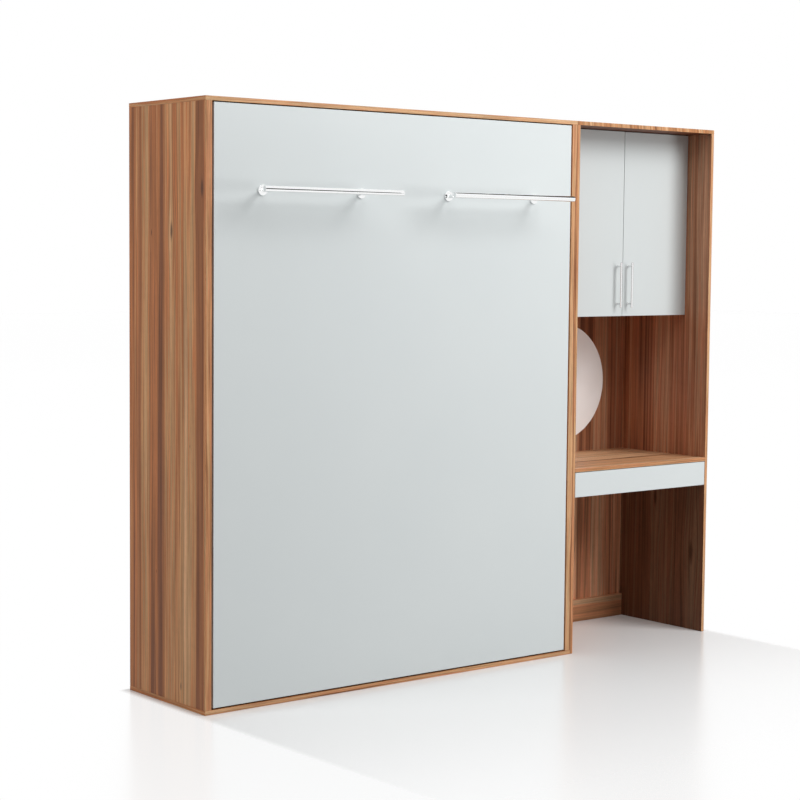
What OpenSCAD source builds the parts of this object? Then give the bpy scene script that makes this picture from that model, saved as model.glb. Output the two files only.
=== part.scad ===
// Wall bed in a tall cabinet, with a vanity unit bolted to its right side.
// The bed folds down about a low cross axis, carried by pivot pins and two gas struts.
// X runs along the front, Y into the depth, Z up. The origin is on the floor, in the middle of the object.

/* [Cabinets] */
// Outer width of the bed cabinet
cabinet_w = 1800; // [1600:1:2000]
// Outer width of the vanity unit
vanity_w = 820; // [700:1:1000]
// Height of both units
unit_h = 2200; // [2000:1:2400]
// Depth of both units
unit_d = 518; // [480:1:600]
// Thickness of the bed cabinet's side boards
side_t = 28; // [22:1:32]
// Thickness of the other boards
board_t = 16; // [15:1:19]
// Thickness of the back panels
back_t = 8; // [4:1:8]
// How far the back panels reach into the boards round them
rabbet_w = 9; // [5:1:10]
// Height of the rails along the bottom of the back
foot_rail_h = 100; // [80:1:140]
// Height of the rails that are bolted to the wall
wall_rail_h = 100; // [80:1:140]
// Diameter of the wall bolt holes
wall_hole_d = 8; // [6:0.5:10]
// Distance from the bed cabinet's side to the nearer wall bolt
cabinet_bolt_inset = 150; // [100:5:300]
// Distance from the vanity unit's side to the nearer wall bolt
vanity_bolt_inset = 110; // [80:5:200]

/* [Bed front panel] */
// Thickness of the panel
panel_t = 18; // [16:1:22]
// Gap between the panel and each side board
panel_gap_side = 7; // [4:0.5:12]
// Gap between the panel and the bottom board
panel_gap_bottom = 6.5; // [5:0.5:12]
// Gap between the panel and the top board
panel_gap_top = 4.5; // [3:0.5:10]

/* [Bed box] */
// Room for the lift mechanism between a side board and the bed box
lift_room = 49; // [49:0.5:56]
// Free space at the mattress's head and foot, both together
mattress_play = 10; // [6:1:20]
// Thickness of the bed's rails
rail_t = 18; // [16:1:22]
// Height of the bed's rails above the panel
rail_h = 150; // [130:1:170]
// Distance from the panel's top edge down to the bed box
box_drop = 21.5; // [18:0.5:40]
// Distance from the panel's bottom edge up to the bed box
box_rise = 89.5; // [80:0.5:100]
// Width of the beam under the middle of the slats
beam_w = 36; // [30:1:60]
// Height of that beam
beam_h = 50; // [40:1:60]

/* [Slats] */
// Rows of slats
slat_rows = 14; // [10:1:16]
// Width of a slat
slat_w = 68; // [50:1:80]
// Thickness of a slat
slat_t = 8; // [6:0.5:10]
// How far a slat bows up in its middle
slat_bow = 12; // [6:1:16]
// Wall of a slat holder
holder_wall = 3; // [2:0.5:4]
// Length of slat that a holder takes
holder_grip = 30; // [20:1:40]

/* [Foot bars] */
// Distance from the panel to a bar's centre line
bar_reach = 140; // [120:1:160]
// Diameter of a bar
bar_d = 22; // [18:1:28]
// Wall of the bar's tube
bar_wall = 1.5; // [1:0.25:2.5]
// Length of a bar
bar_l = 623; // [520:1:640]
// Distance between the two posts of a bar
bar_post_gap = 447; // [380:1:480]
// Distance from the panel's side edge to the end of the nearer bar
bar_inset = 117.5; // [60:0.5:140]
// Distance from the panel's top edge down to the bars
bar_drop = 302.5; // [230:0.5:500]
// Diameter of a post
post_d = 14; // [10:1:16]
// Diameter of the flange at the foot of a post
flange_d = 42; // [34:1:50]
// Thickness of that flange
flange_t = 6; // [4:0.5:8]

/* [Lift mechanism] */
// Distance from the front of the cabinet back to the bed's pivot
pivot_y = 37; // [36:0.5:42]
// Gap between the bars and the floor when the bed is down
floor_gap = 0.5; // [0.5:0.5:3]
// Diameter of the pivot pin
pin_d = 16; // [14:1:16]
// Running clearance between a pin and its bore, all round
fit = 0.05; // [0.02:0.01:0.08]
// Thickness of the steel plates on the cabinet
plate_t = 4; // [3:0.5:5]
// Thickness of the steel bed arms
arm_t = 6; // [5:0.5:8]
// Length of the lever that the strut works on
lever_l = 200; // [180:5:220]
// Angle by which the lever points below the level when the bed is up
lever_droop = 20; // [15:1:30]
// Distance from the front of the cabinet back to the strut's upper stud
stud_y = 60; // [50:1:90]
// Height of the strut's upper stud above the floor
stud_z = 850; // [830:5:900]
// Diameter of the studs
stud_d = 10; // [8:1:12]
// Diameter of the strut's tube
tube_d = 22; // [20:1:28]
// Length of the strut's tube
tube_l = 390; // [360:1:400]
// Diameter of the strut's rod
rod_d = 10; // [8:1:12]
// Diameter of the plate screws
screw_d = 5; // [4:0.5:6]
// Diameter of the arm bolts
bolt_d = 8; // [6:1:10]

/* [Doors] */
// How far the doors are set back from the front of the unit
door_setback = 135.5; // [120:0.5:160]
// Thickness of a door
door_t = 16; // [16:1:19]
// Height of the doors' lower edge above the floor
door_bottom = 1396; // [1350:1:1450]
// Gap between a door and the side board
door_gap_side = 1; // [1:0.5:3]
// Gap between the two doors
door_gap_mid = 3; // [2:0.5:5]
// Gap between the doors and the top board
door_gap_top = 3.5; // [2:0.5:6]
// How far the doors overlap below the cabinet floor
door_lap = 2; // [1:0.5:8]
// Height of the shelf's underside above the floor
shelf_z = 1790; // [1650:1:1900]
// Diameter of a hinge cup
cup_d = 35; // [30:1:40]
// Distance from a door's end to the middle of its hinge cup
cup_inset_z = 100; // [80:1:140]

/* [Door handles] */
// Length of a handle
handle_l = 193; // [150:1:240]
// Diameter of a handle's bar
handle_d = 10; // [8:1:12]
// Distance between a handle's two posts
handle_post_gap = 160; // [128:1:192]
// Distance from the door to the bar's centre line
handle_reach = 25; // [20:1:35]
// Distance from the line between the doors to a handle
handle_offset = 33; // [25:1:60]
// Height of a handle's middle above the doors' lower edge
handle_rise = 132.5; // [120:0.5:300]

/* [Desk and drawer] */
// Height of the desk top
desk_h = 774; // [720:1:800]
// Height of the drawer front
drawer_front_h = 102; // [95:1:130]
// Gap between the desk and the drawer front
drawer_gap_top = 2.5; // [2:0.5:4]
// Gap between the drawer front and each side board
drawer_gap_side = 1.5; // [1:0.5:3]
// Depth of the drawer box behind its front
drawer_l = 450; // [400:10:460]
// Height of the drawer's sides
drawer_side_h = 80; // [70:1:85]
// Thickness of the drawer's sides and back
drawer_wall = 14; // [12:1:16]
// Thickness of the drawer's bottom
drawer_base_t = 6; // [4:1:8]
// Width that a runner takes between the drawer and the side board
runner_w = 12.7; // [12.7:0.1:13.5]
// Height of a runner
runner_h = 45.5; // [44:0.5:50]

/* [Mirror] */
// Diameter of the mirror
mirror_d = 520; // [400:1:560]
// Thickness of the mirror
mirror_t = 5; // [4:0.5:6]
// Height of the mirror's middle above the floor
mirror_z = 1090; // [1070:1:1100]

/* [Hidden] */
$fn = 64;
overall_w = cabinet_w + vanity_w;
bar_front = bar_reach + bar_d / 2;
centre_y = (unit_d - bar_front) / 2;
move_gap = 0.3;
eps = 0.01;

top_z = unit_h - board_t;
back_y = unit_d - back_t;
rail_y = back_y - board_t;
back_play = 0.5;

// Bed
bed_cx = cabinet_w / 2;
panel_x = side_t + panel_gap_side;
panel_w = cabinet_w - 2 * panel_x;
panel_z = board_t + panel_gap_bottom;
panel_top = top_z - panel_gap_top;
box_x = side_t + lift_room;
box_in_w = cabinet_w - 2 * (box_x + rail_t);
box_top = panel_top - box_drop;
box_z = panel_z + box_rise;
box_in_l = box_top - box_z - 2 * rail_t;
mattress_l = box_in_l - mattress_play;
rail_back = panel_t + rail_h;
bar_z = panel_top - bar_drop;
bar_offset = panel_w / 2 - bar_inset - bar_l / 2;

// Slats, drawn as arcs between the side rail and the beam
bay_w = (box_in_w - beam_w) / 2;
slat_play = 0.2;
slat_l = bay_w - holder_wall;
slat_r = (pow(slat_l / 2, 2) + pow(slat_bow, 2)) / (2 * slat_bow);
holder_base_y = panel_t + beam_h;
slat_seat_y = holder_base_y + holder_wall;
slat_pitch = mattress_l / slat_rows;
slat_z0 = box_z + rail_t + mattress_play / 2 + slat_pitch / 2;
holder_h = slat_w + 2 * holder_wall;
slat_fn = 2400;
grip_rise = slat_bow * (1 - pow(1 - 2 * holder_grip / slat_l, 2));
holder_top_y = slat_seat_y + slat_t + grip_rise + holder_wall;

// Mattress retainer
hoop_d = 12;
hoop_w = 700;
hoop_h = 90;
hoop_bend = 35;
hoop_sink = 45;

// Lift mechanism, in the plane of Y and Z
pivot = [pivot_y, pivot_y + bar_front + floor_gap];
lever_up = pivot + lever_l * [cos(lever_droop), -sin(lever_droop)];
stud = [stud_y, stud_z];
strut_long = norm(lever_up - stud);
strut_lean = atan2(lever_up.x - stud.x, stud.y - lever_up.y);
arm_x = box_x - arm_t;
plate_x = side_t + plate_t;
strut_x = (plate_x + arm_x) / 2;
eye_w = 14;
eye_d = 22;
neck_l = 30;
rod_neck_d = rod_d + 2;
rod_pin_head_t = 4;
stud_clip_t = 1.5;
stud_tip = 3;
tube_foot = neck_l + tube_l;
tube_wall = 1.5;
tube_head_t = 6;
gland_l = 12;
piston_l = 12;
piston_rest = 5;
boss_d = 1.5 * pin_d;
bush_d = pin_d + 6;
bush_flange_d = 34;
bush_flange_t = 5;
bush_l = 16;
plate_size = [80, 200];
plate_low = [20, -60];
plate_corner = 10;
plate_screw_at = [[66, 14], [66, 60], [66, 106], [14, 140], [66, 186], [14, 186]];
bracket_size = [60, 90];
bracket_screw_at = [[12, 12], [48, 12], [12, 78], [48, 78]];
screw_l = 20;
screw_head_d = 2 * screw_d;
arm_foot_y = 120;
arm_rise = 260;
arm_foot = [arm_foot_y, pivot.y + arm_rise];
arm_lever_bolt = 0.45;
arm_low_bolt = (slat_z0 + slat_pitch / 2 - pivot.y) / arm_rise;
arm_leg_bolts = [arm_low_bolt, 0.75, 1];
arm_bolt_at = concat(
    [pivot + arm_lever_bolt * (lever_up - pivot)],
    [for (t = arm_leg_bolts) pivot + t * (arm_foot - pivot)]
);
arm_hub_r = pivot_y - panel_t - 1;
arm_tip_r = 18;
arm_foot_r = 22;
arm_gusset = 0.55;
bolt_head_d = 1.9 * bolt_d;
bolt_head_t = 3.5;
sleeve_head_t = 1.5;

// Closing stops
stop_drop = 304;
stop_z = top_z - stop_drop;
stop_size = [box_x + rail_t - side_t, 30, 60];
buffer_d = 16;
buffer_t = 4;

// Bolts between the two units
unit_bolt_d = 8;
unit_bolt_inset = 68;
unit_bolt_y = unit_d - unit_bolt_inset;
unit_bolt_z = unit_h * [0.09, 0.41, 0.68, 0.91];
unit_bolt_head_d = 16;
unit_bolt_head_t = 2;

// Vanity
van_x = cabinet_w;
van_cx = cabinet_w + vanity_w / 2;
van_in = van_x + board_t;
van_in_w = vanity_w - 2 * board_t;
door_back = door_setback + door_t;
door_x = van_in + door_gap_side;
door_w = (van_in_w - 2 * door_gap_side - door_gap_mid) / 2;
door_h = top_z - door_gap_top - door_bottom;
floor_z = door_bottom + door_lap;
shelf_play = 1;
shelf_setback = 25;
shelf_front = door_back + shelf_setback;
shelf_pin_d = 5;
shelf_pad = 9;
shelf_pin_inset = 40;
shelf_pin_y = [shelf_front + shelf_pin_inset, rail_y - shelf_pin_inset];

// Concealed hinges
cup_depth = 11.5;
cup_edge = 3;
cup_cx = door_x + cup_edge + cup_d / 2;
cup_wall = 1.5;
wing_size = [16, 56];
wing_t = 1.2;
hinge_z = [door_bottom + cup_inset_z, door_bottom + door_h - cup_inset_z];
hinge_front = door_back + move_gap;
hinge_nose = cup_cx - cup_d / 2 + 1.5;
hinge_tip = cup_cx + 6;
hinge_setback = 37;
hinge_plate_y = door_back + hinge_setback;
hinge_plate_size = [18, 50];
hinge_plate_t = 3;
hinge_arm_w = 13;
hinge_arm_t = 8;
hinge_arm_back = 26;
hinge_crank = 8;
hinge_hook = 12;

// Desk and drawer
desk_z = desk_h - board_t;
drawer_front_z = desk_z - drawer_gap_top - drawer_front_h;
drawer_sink = 2;
drawer_mid_z = drawer_front_z + drawer_front_h / 2 - drawer_sink;
drawer_side_z = drawer_mid_z - drawer_side_h / 2;
drawer_x = van_in + runner_w;
drawer_w = van_in_w - 2 * runner_w;
drawer_base_rise = 10;
drawer_base_z = drawer_side_z + drawer_base_rise;
groove_d = 6;

// Runner profiles, across X and Z, from the side board
sheet = 1.5;
ball_d = 2.5;
race_gap = 1.5;
race_play = 0.1;
ball_row_l = 180;
ball_row_inset = 40;
ball_pitch = 20;
cage_w = 3.2;
cage_t = 0.6;
cage_end = 4;
runner_setback = 4;
runner_y = board_t + runner_setback;
runner_l = drawer_l - 6;
outer_half = runner_h / 2;
middle_half = outer_half - sheet - race_gap;
inner_half = middle_half - sheet - race_gap;
middle_x = sheet + 0.5;
outer_row_x = middle_x + 3.6;
inner_row_x = runner_w - 4.4;
inner_x = inner_row_x - 2;
outer_row_z = outer_half - sheet - race_gap / 2;
inner_row_z = middle_half - sheet - race_gap / 2;

// Places: every piece is drawn from the bed cabinet's front, left, bottom corner and moved once
module in_place() {
    translate([-overall_w / 2, -centre_y, 0]) children();
}

module bed_mirrored() {
    translate([cabinet_w, 0, 0]) mirror([1, 0, 0]) children();
}

module bed_pair() {
    children();
    bed_mirrored() children();
}

module vanity_mirrored() {
    translate([2 * van_cx, 0, 0]) mirror([1, 0, 0]) children();
}

module vanity_pair() {
    children();
    vanity_mirrored() children();
}

// Shapes
module block(low, high) {
    translate(low) cube(high - low);
}

module rod_x(d, l) {
    rotate([0, 90, 0]) cylinder(d = d, h = l);
}

module rod_y(d, l) {
    rotate([-90, 0, 0]) cylinder(d = d, h = l);
}

// A flat outline of Y and Z, as thick as t along X
module plate_yz(t) {
    rotate([90, 0, 90]) linear_extrude(t) children();
}

module rounded_outline(size, r) {
    translate([r, 0]) square([size.x - 2 * r, size.y]);
    translate([0, r]) square([size.x, size.y - 2 * r]);
    for (x = [r, size.x - r], y = [r, size.y - r]) translate([x, y]) circle(r);
}

// A straight bar of Y and Z between two round ends of different size
function bar_points(from, to, r_from, r_to) =
    let (along = (to - from) / norm(to - from), across = 0.97 * [-along.y, along.x])
    [from + r_from * across, to + r_to * across, to - r_to * across, from - r_from * across];

// Countersunk screw along X: the head is flush with x = 0 and the shank runs towards -X
module screw(d, head_d, l) {
    translate([-l, 0, 0]) rod_x(d, l);
    rotate([0, -90, 0]) cylinder(d1 = head_d, d2 = d, h = (head_d - d) / 2);
}

// Bed cabinet
module screw_holes_in_side() {
    for (p = plate_screw_at) {
        translate([side_t + eps, plate_low.x + p.x, pivot.y + plate_low.y + p.y])
            screw(screw_d + 2 * fit, screw_d + 2 * fit, screw_l);
    }
    for (p = bracket_screw_at) {
        translate([side_t + eps, stud.x + p.x - bracket_size.x / 2, stud.y + p.y - bracket_size.y / 2])
            screw(screw_d + 2 * fit, screw_d + 2 * fit, screw_l);
    }
}

module cabinet_side_board() {
    difference() {
        block([0, 0, board_t], [side_t, unit_d, top_z]);
        block([side_t - rabbet_w, back_y, board_t - eps], [side_t + eps, unit_d + eps, top_z + eps]);
        screw_holes_in_side();
    }
}

module unit_bolt_holes(d) {
    for (z = unit_bolt_z) {
        translate([cabinet_w - side_t - eps, unit_bolt_y, z]) rod_x(d, side_t + board_t + 2 * eps);
    }
}

module cabinet_side_left() {
    color("#8a5f42") in_place() cabinet_side_board();
}

module cabinet_side_right() {
    color("#8a5f42") in_place() difference() {
        bed_mirrored() cabinet_side_board();
        unit_bolt_holes(unit_bolt_d + 2 * fit);
    }
}

module cabinet_top() {
    color("#9a6c4a") in_place() difference() {
        block([0, 0, top_z], [cabinet_w, unit_d, unit_h]);
        block([side_t - rabbet_w, back_y, top_z - eps],
            [cabinet_w - side_t + rabbet_w, unit_d + eps, top_z + rabbet_w]);
    }
}

module cabinet_bottom() {
    color("#9a6c4a") in_place() difference() {
        block([0, 0, 0], [cabinet_w, unit_d, board_t]);
        block([side_t - rabbet_w, back_y, board_t - rabbet_w],
            [cabinet_w - side_t + rabbet_w, unit_d + eps, board_t + eps]);
    }
}

module wall_holes(cx, gap) {
    for (side = [-1, 1]) {
        translate([cx + side * gap / 2, rail_y - eps, top_z - wall_rail_h / 2])
            rod_y(wall_hole_d, unit_d - rail_y + 2 * eps);
    }
}

module cabinet_back_panel() {
    reach = rabbet_w - back_play;
    color("#7d573d") in_place() difference() {
        block([side_t - reach, back_y, board_t - reach],
            [cabinet_w - side_t + reach, unit_d, top_z + reach]);
        wall_holes(bed_cx, cabinet_w - 2 * cabinet_bolt_inset);
    }
}

module cabinet_wall_rail() {
    color("#9a6c4a") in_place() difference() {
        block([side_t, rail_y, top_z - wall_rail_h], [cabinet_w - side_t, back_y, top_z]);
        wall_holes(bed_cx, cabinet_w - 2 * cabinet_bolt_inset);
    }
}

module cabinet_foot_rail() {
    color("#9a6c4a") in_place()
        block([side_t, rail_y, board_t], [cabinet_w - side_t, back_y, board_t + foot_rail_h]);
}

// Lift mechanism on the cabinet
module countersinks(points) {
    for (p = points) {
        translate([plate_t + eps, p.x, p.y])
            screw(screw_d + 2 * fit, screw_head_d + 2 * fit, plate_t + 2 * eps);
    }
}

module pivot_plate() {
    translate([side_t, plate_low.x, pivot.y + plate_low.y]) difference() {
        plate_yz(plate_t) rounded_outline(plate_size, plate_corner);
        countersinks(plate_screw_at);
    }
    translate([plate_x - eps, pivot.x, pivot.y]) {
        rod_x(boss_d, box_x - bush_l - move_gap - plate_x + eps);
        rod_x(pin_d, box_x - 1 - plate_x + eps);
    }
}

module pivot_plates() {
    color("#b9bcbe") in_place() bed_pair() pivot_plate();
}

module strut_bracket() {
    translate([side_t, stud.x - bracket_size.x / 2, stud.y - bracket_size.y / 2]) difference() {
        plate_yz(plate_t) rounded_outline(bracket_size, plate_corner);
        countersinks(bracket_screw_at);
    }
    shoulder = strut_x - eye_w / 2 - move_gap - plate_x;
    translate([plate_x - eps, stud.x, stud.y]) {
        rod_x(stud_d * 1.6, shoulder);
        rod_x(stud_d, shoulder + eye_w + 2 * move_gap + stud_tip);
        translate([shoulder + eye_w + 2 * move_gap, 0, 0]) rod_x(1.5 * stud_d, stud_clip_t);
    }
}

module strut_brackets() {
    color("#b9bcbe") in_place() bed_pair() strut_bracket();
}

module plate_screws() {
    color("#d6d8da") in_place() bed_pair() {
        for (p = plate_screw_at) {
            translate([plate_x, plate_low.x + p.x, pivot.y + plate_low.y + p.y])
                screw(screw_d, screw_head_d, screw_l);
        }
        for (p = bracket_screw_at) {
            translate([plate_x, stud.x + p.x - bracket_size.x / 2, stud.y + p.y - bracket_size.y / 2])
                screw(screw_d, screw_head_d, screw_l);
        }
    }
}

module closing_stops() {
    stop_y = rail_back + move_gap + buffer_t;
    color("#a98a63") in_place() bed_pair()
        block([side_t, stop_y, stop_z], [side_t, stop_y, stop_z] + stop_size);
}

module closing_buffers() {
    color("#2a2a2a") in_place() bed_pair()
        translate([box_x + rail_t / 2, rail_back + move_gap, stop_z + stop_size.z / 2])
            rod_y(buffer_d, buffer_t);
}

module unit_bolts() {
    color("#c9ccce") in_place() for (z = unit_bolt_z) translate([cabinet_w - side_t, unit_bolt_y, z]) {
        rod_x(unit_bolt_d, side_t + board_t);
        translate([-unit_bolt_head_t, 0, 0]) rod_x(unit_bolt_head_d, unit_bolt_head_t);
        translate([side_t + board_t, 0, 0]) rod_x(unit_bolt_head_d, unit_bolt_head_t);
    }
}

// Vanity carcass
module shelf_pin_holes(d) {
    for (y = shelf_pin_y) {
        translate([van_in - shelf_pad, y, shelf_z - shelf_pin_d / 2]) rod_x(d, shelf_pad + eps);
    }
}

module vanity_side_board() {
    difference() {
        block([van_x, 0, 0], [van_in, unit_d, top_z]);
        block([van_in - rabbet_w, back_y, -eps], [van_in + eps, unit_d + eps, top_z + eps]);
        shelf_pin_holes(shelf_pin_d + 2 * fit);
    }
}

module vanity_side_left() {
    color("#8a5f42") in_place() difference() {
        vanity_side_board();
        unit_bolt_holes(unit_bolt_d + 2 * fit);
    }
}

module vanity_side_right() {
    color("#8a5f42") in_place() vanity_mirrored() vanity_side_board();
}

module vanity_top() {
    color("#9a6c4a") in_place() difference() {
        block([van_x, 0, top_z], [van_x + vanity_w, unit_d, unit_h]);
        block([van_in - rabbet_w, back_y, top_z - eps],
            [van_in + van_in_w + rabbet_w, unit_d + eps, top_z + rabbet_w]);
    }
}

module vanity_back_panel() {
    reach = rabbet_w - back_play;
    color("#7d573d") in_place() difference() {
        block([van_in - reach, back_y, 0], [van_in + van_in_w + reach, unit_d, top_z + reach]);
        wall_holes(van_cx, vanity_w - 2 * vanity_bolt_inset);
    }
}

module vanity_wall_rail() {
    color("#9a6c4a") in_place() difference() {
        block([van_in, rail_y, top_z - wall_rail_h], [van_in + van_in_w, back_y, top_z]);
        wall_holes(van_cx, vanity_w - 2 * vanity_bolt_inset);
    }
}

module vanity_foot_rail() {
    color("#9a6c4a") in_place() block([van_in, rail_y, 0], [van_in + van_in_w, back_y, foot_rail_h]);
}

module desk_top() {
    color("#b98a5f") in_place() block([van_in, 0, desk_z], [van_in + van_in_w, back_y, desk_h]);
}

module upper_cabinet_floor() {
    color("#9a6c4a") in_place()
        block([van_in, door_back + 1, floor_z], [van_in + van_in_w, back_y, floor_z + board_t]);
}

module shelf() {
    color("#9a6c4a") in_place()
        block([van_in + shelf_play, shelf_front, shelf_z],
            [van_in + van_in_w - shelf_play, rail_y - shelf_play, shelf_z + board_t]);
}

module shelf_supports() {
    color("#c9ccce") in_place() vanity_pair() {
        shelf_pin_holes(shelf_pin_d);
        for (y = shelf_pin_y) {
            translate([van_in, y, shelf_z]) intersection() {
                rod_x(2 * shelf_pad, shelf_pad);
                block([-eps, -shelf_pad, -shelf_pad], [shelf_pad + eps, shelf_pad, 0]);
            }
        }
    }
}

module mirror_disc() {
    bevel = 1;
    rotate([90, 0, 0]) rotate_extrude($fn = 180) polygon([
        [0, 0], [mirror_d / 2, 0], [mirror_d / 2, mirror_t - bevel], [mirror_d / 2 - bevel, mirror_t],
        [0, mirror_t]
    ]);
}

module round_mirror() {
    color("#b3a79b") in_place() translate([van_cx, back_y, mirror_z]) mirror_disc();
}

// Concealed hinges
module hinge_plate(z) {
    translate([van_in, hinge_plate_y - hinge_plate_size.x / 2, z - hinge_plate_size.y / 2])
        plate_yz(hinge_plate_t) rounded_outline(hinge_plate_size, 4);
}

module hinge_plates() {
    color("#c9ccce") in_place() vanity_pair() for (z = hinge_z) hinge_plate(z);
}

// Cranked arm: low over its plate, then stepping out to the mouth of the cup
module hinge_arm(z) {
    foot = van_in + hinge_plate_t;
    translate([0, 0, z - hinge_arm_w / 2]) linear_extrude(hinge_arm_w) polygon([
        [foot, hinge_plate_y + hinge_arm_back], [foot + hinge_arm_t, hinge_plate_y + hinge_arm_back],
        [foot + hinge_arm_t, hinge_plate_y - hinge_crank], [hinge_tip, hinge_front + hinge_hook],
        [hinge_tip, hinge_front], [hinge_nose, hinge_front],
        [hinge_nose, hinge_front + hinge_hook - hinge_crank / 2], [foot, hinge_plate_y - 2 * hinge_crank]
    ]);
}

module hinge_arms() {
    color("#c9ccce") in_place() vanity_pair() for (z = hinge_z) hinge_arm(z);
}

module cup_bores(grow) {
    for (z = hinge_z) translate([cup_cx, door_back + eps, z]) rotate([90, 0, 0])
        cylinder(d = cup_d + grow, h = cup_depth + eps);
}

module hinge_cup(z) {
    translate([cup_cx, door_back, z]) {
        difference() {
            union() {
                rotate([90, 0, 0]) cylinder(d = cup_d, h = cup_depth);
                translate([-wing_size.x / 2, wing_t, -wing_size.y / 2]) rotate([90, 0, 0])
                    linear_extrude(wing_t + eps) rounded_outline(wing_size, 5);
            }
            translate([0, wing_t + eps, 0]) rotate([90, 0, 0])
                intersection() {
                    cylinder(d = cup_d - 2 * cup_wall, h = cup_depth + wing_t - cup_wall);
                    translate([-9, -cup_d / 2, 0]) cube([cup_d, cup_d, cup_depth + wing_t]);
                }
        }
    }
}

// Doors
module door_board() {
    difference() {
        block([door_x, door_setback, door_bottom], [door_x + door_w, door_back, door_bottom + door_h]);
        cup_bores(2 * fit);
    }
}

module door_handle() {
    x = van_cx - handle_offset;
    z = door_bottom + handle_rise;
    translate([x, door_setback - handle_reach, z - handle_l / 2]) cylinder(d = handle_d, h = handle_l);
    for (side = [-1, 1]) {
        translate([x, door_setback - handle_reach, z + side * handle_post_gap / 2])
            rod_y(0.8 * handle_d, handle_reach);
    }
}

module door_left() {
    color("#dfe3e3") in_place() door_board();
}

module door_right() {
    color("#dfe3e3") in_place() vanity_mirrored() door_board();
}

module door_handle_left() {
    color("#d9dcde") in_place() door_handle();
}

module door_handle_right() {
    color("#d9dcde") in_place() vanity_mirrored() door_handle();
}

module hinge_cups_left() {
    color("#c9ccce") in_place() for (z = hinge_z) hinge_cup(z);
}

module hinge_cups_right() {
    color("#c9ccce") in_place() vanity_mirrored() for (z = hinge_z) hinge_cup(z);
}

// Drawer
module drawer_front() {
    color("#dfe3e3") in_place() difference() {
        block([van_in + drawer_gap_side, 0, drawer_front_z],
            [van_in + van_in_w - drawer_gap_side, board_t, drawer_front_z + drawer_front_h]);
        block([drawer_x + drawer_wall - groove_d, board_t - groove_d, drawer_base_z],
            [drawer_x + drawer_w - drawer_wall + groove_d, board_t + eps, drawer_base_z + drawer_base_t]);
    }
}

module drawer_side() {
    difference() {
        block([drawer_x, board_t, drawer_side_z],
            [drawer_x + drawer_wall, board_t + drawer_l, drawer_side_z + drawer_side_h]);
        block([drawer_x + drawer_wall - groove_d, board_t - eps, drawer_base_z],
            [drawer_x + drawer_wall + eps, board_t + drawer_l + eps, drawer_base_z + drawer_base_t]);
    }
}

module drawer_sides() {
    color("#e6e3dc") in_place() vanity_pair() drawer_side();
}

module drawer_back() {
    back_z = drawer_base_z + drawer_base_t;
    color("#e6e3dc") in_place()
        block([drawer_x + drawer_wall, board_t + drawer_l - drawer_wall, back_z],
            [drawer_x + drawer_w - drawer_wall, board_t + drawer_l, drawer_side_z + drawer_side_h]);
}

module drawer_bottom() {
    grip = groove_d - back_play;
    color("#e6e3dc") in_place()
        block([drawer_x + drawer_wall - grip, board_t - grip, drawer_base_z],
            [drawer_x + drawer_w - drawer_wall + grip, board_t + drawer_l, drawer_base_z + drawer_base_t]);
}

// Ball runners: each member is a folded channel, with a race along the inside or outside of its flanges
module race(x, row_z) {
    for (side = [-1, 1]) translate([x, side * row_z]) circle(d = ball_d + 2 * race_play);
}

module channel(x_web, x_lip, half) {
    low = min(x_web, x_lip);
    translate([low, -half]) square([abs(x_lip - x_web), sheet]);
    translate([low, half - sheet]) square([abs(x_lip - x_web), sheet]);
    translate([x_web < x_lip ? x_web : x_web - sheet, -half]) square([sheet, 2 * half]);
}

module along_drawer(y, l) {
    translate([van_in, y + l, drawer_mid_z]) rotate([90, 0, 0]) linear_extrude(l) children();
}

module runner_outer() {
    color("#c4c8ca") in_place() vanity_pair() along_drawer(runner_y, runner_l) difference() {
        channel(0, runner_w - 3.2, outer_half);
        race(outer_row_x, outer_row_z);
    }
}

// A strip that holds a row of balls at even steps
module ball_row(x, z) {
    n = floor(ball_row_l / ball_pitch);
    translate([van_in + x, runner_y + runner_l - ball_row_l - ball_row_inset, drawer_mid_z + z]) {
        translate([-cage_w / 2, -cage_end, -cage_t / 2])
            cube([cage_w, n * ball_pitch + 2 * cage_end, cage_t]);
        for (i = [0:n]) translate([0, i * ball_pitch, 0]) sphere(d = ball_d);
    }
}

module runner_middle() {
    color("#c4c8ca") in_place() vanity_pair() {
        along_drawer(runner_y + 2, runner_l - 4) difference() {
            channel(middle_x, runner_w - sheet - 0.6, middle_half);
            race(outer_row_x, outer_row_z);
            race(inner_row_x, inner_row_z);
        }
        for (side = [-1, 1]) {
            ball_row(outer_row_x, side * outer_row_z);
            ball_row(inner_row_x, side * inner_row_z);
        }
    }
}

module runner_inner() {
    color("#c4c8ca") in_place() vanity_pair() along_drawer(runner_y - 2, runner_l) difference() {
        channel(runner_w, inner_x, inner_half);
        race(inner_row_x, inner_row_z);
    }
}

// Bed
module bed_front_panel() {
    color("#dde1e1") in_place() block([panel_x, 0, panel_z], [panel_x + panel_w, panel_t, panel_top]);
}

module arm_bolt_holes(d) {
    for (p = arm_bolt_at) translate([arm_x - eps, p.x, p.y]) rod_x(d, arm_t + rail_t + 2 * eps);
}

module bed_side_rail() {
    difference() {
        block([box_x, panel_t, box_z], [box_x + rail_t, rail_back, box_top]);
        arm_bolt_holes(bolt_d + 2 * fit);
    }
}

module bed_rail_left() {
    color("#a07350") in_place() bed_side_rail();
}

module bed_rail_right() {
    color("#a07350") in_place() bed_mirrored() bed_side_rail();
}

module hoop_holes(d) {
    for (side = [-1, 1]) {
        translate([bed_cx + side * hoop_w / 2, rail_back - hoop_sink, box_top - rail_t / 2])
            rod_y(d, hoop_sink + eps);
    }
}

module bed_end_rails() {
    x0 = box_x + rail_t;
    color("#a07350") in_place() {
        block([x0, panel_t, box_z], [x0 + box_in_w, rail_back, box_z + rail_t]);
        difference() {
            block([x0, panel_t, box_top - rail_t], [x0 + box_in_w, rail_back, box_top]);
            hoop_holes(hoop_d + 2 * fit);
        }
    }
}

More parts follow.
